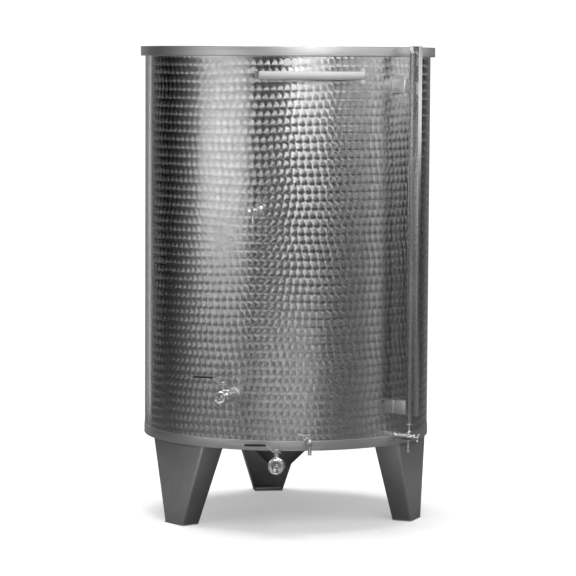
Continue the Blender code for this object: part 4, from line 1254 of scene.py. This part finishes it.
def make_room_light():
    """Lights the tank from a room whose brightness changes round it, in front of a white backdrop."""
    world = bpy.data.worlds.new("studio")
    bpy.context.scene.world = world
    world.use_nodes = True
    tree = world.node_tree
    tree.nodes.clear()
    x, y, _ = axes_of(tree, tree.nodes.new("ShaderNodeTexCoord").outputs["Generated"])
    angle = calc(tree, "ARCTAN2", x, calc(tree, "MULTIPLY", y, -1.0))
    share = calc(tree, "DIVIDE", angle, math.tau)
    turn = calc(tree, "FRACT", calc(tree, "ADD", share, 0.5 - CAMERA_ANGLE / 360.0))
    ramp = tree.nodes.new("ShaderNodeValToRGB")
    ramp.color_ramp.interpolation = "EASE"
    tree.links.new(turn, ramp.inputs[0])
    stops = ramp.color_ramp.elements
    while len(stops) < len(ROOM):
        stops.new(0.5)
    for stop, (place, level) in zip(stops, ROOM):
        stop.position = (place + 180) / 360
        stop.color = (level, level, level, 1)
    studio = tree.nodes.new("ShaderNodeBackground")
    tree.links.new(ramp.outputs[0], studio.inputs["Strength"])
    backdrop = tree.nodes.new("ShaderNodeBackground")
    backdrop.inputs["Color"].default_value = (1, 1, 1, 1)
    backdrop.inputs["Strength"].default_value = 1.1
    seen = tree.nodes.new("ShaderNodeLightPath").outputs["Is Camera Ray"]
    mix = tree.nodes.new("ShaderNodeMixShader")
    tree.links.new(seen, mix.inputs[0])
    tree.links.new(studio.outputs[0], mix.inputs[1])
    tree.links.new(backdrop.outputs[0], mix.inputs[2])
    output = tree.nodes.new("ShaderNodeOutputWorld")
    tree.links.new(mix.outputs[0], output.inputs["Surface"])


def make_lights():
    make_room_light()
    top = bpy.data.lights.new("top_light", "SUN")
    top.energy = 2.2
    top.angle = math.radians(40)
    light = bpy.data.objects.new("top_light", top)
    light.rotation_euler = (math.radians(-9), math.radians(-4), 0)
    bpy.context.scene.collection.objects.link(light)
    for name, angle, *settings in SOFT_BOXES:
        add_light(name, CAMERA_ANGLE + angle, *settings)


def aim_camera():
    data = bpy.data.cameras.new("camera")
    data.sensor_width = 36.0
    data.lens = CAMERA_LENS
    camera = bpy.data.objects.new("camera", data)
    camera.matrix_world = (Matrix.Translation(polar(CAMERA_ANGLE, CAMERA_DISTANCE, CAMERA_HEIGHT))
                           @ Matrix.Rotation(math.radians(CAMERA_ANGLE + CAMERA_PAN), 4, "Z")
                           @ Matrix.Rotation(math.radians(90 - CAMERA_PITCH), 4, "X")
                           @ Matrix.Rotation(math.radians(CAMERA_ROLL), 4, "Z"))
    bpy.context.scene.collection.objects.link(camera)
    bpy.context.scene.camera = camera


bpy.context.scene.view_settings.view_transform = "Standard"
GROUPS["unrolled"] = make_unrolled_group()
GROUPS["marks"] = make_marks_group()
GROUPS["ground"] = make_ground_group()
GROUPS["smudges"] = make_smudge_group()
GROUPS["brush"] = make_brush_group()
FINISH = {
    "marbled": make_marbled_steel(),
    "inside": make_brushed_round("plain_inside", 0.5, 0.34),
    "rim": make_brushed_round("rim_steel", 0.72, 0.50),
    "band": make_brushed_round("band_steel", 0.70, 0.44),
    "bottom": make_brushed_upright("bottom_steel", 0.52, 0.36),
    "legs": make_brushed_upright("leg_steel", 0.68, 0.50),
    # The brackets' brushed steel is set lighter than the other brushed steel: painted light on the gauge
    # brackets' faces
    "bracket": make_brushed_upright("painted_light_bracket_steel", 0.80, 0.46),
    "bar": make_brushed_upright("bar_steel", 0.58, 0.50),
    "guard": make_brushed_upright("guard_steel", 0.62, 0.26),
    "polished": make_polished_steel(),
    "sleeve": make_black_sleeve(),
    "tube": make_clear_tube(),
}
# Slots of the finishes. All the others are brushed steel
SLOTS = {"marbled": "marbled_steel", "polished": "polished_steel", "sleeve": "black_sleeve",
         "tube": "clear_tube"}
NODE_FINISH = {"brushed_steel": "legs", **{slot: finish for finish, slot in SLOTS.items()}}


def dress_frame():
    """Gives every node that shows its own finish."""
    for entry in frame["record"]["subparts"]:
        node = frame["nodes"][entry["node"]]
        node.data.materials.clear()
        node.data.materials.append(FINISH[NODE_FINISH[entry["material_slot"]]])


aim_camera()
make_lights()
make_floor()
dress_frame()
make_shell()
make_rim()
make_band()
make_bottom()
make_sump()
for leg_side, leg_angle in LEG_ANGLES.items():
    make_leg(leg_side, leg_angle)
    make_foot(leg_side, leg_angle)
make_strap("folded_label_bar", "label_bar", BAR_ANGLE, 5 * MM, "bar")
make_strap("upper_bracket", "upper_gauge_bracket", GAUGE_ANGLE, 5 * MM, "bracket")
make_strap("lower_bracket", "lower_gauge_bracket", GAUGE_ANGLE, 5 * MM, "bracket")
make_guard()
make_gauge_tube()
make_gauge_tap()
make_partial_outlet()
make_total_outlet()
make_tasting_tap()
make_band_tap()
make_welds()
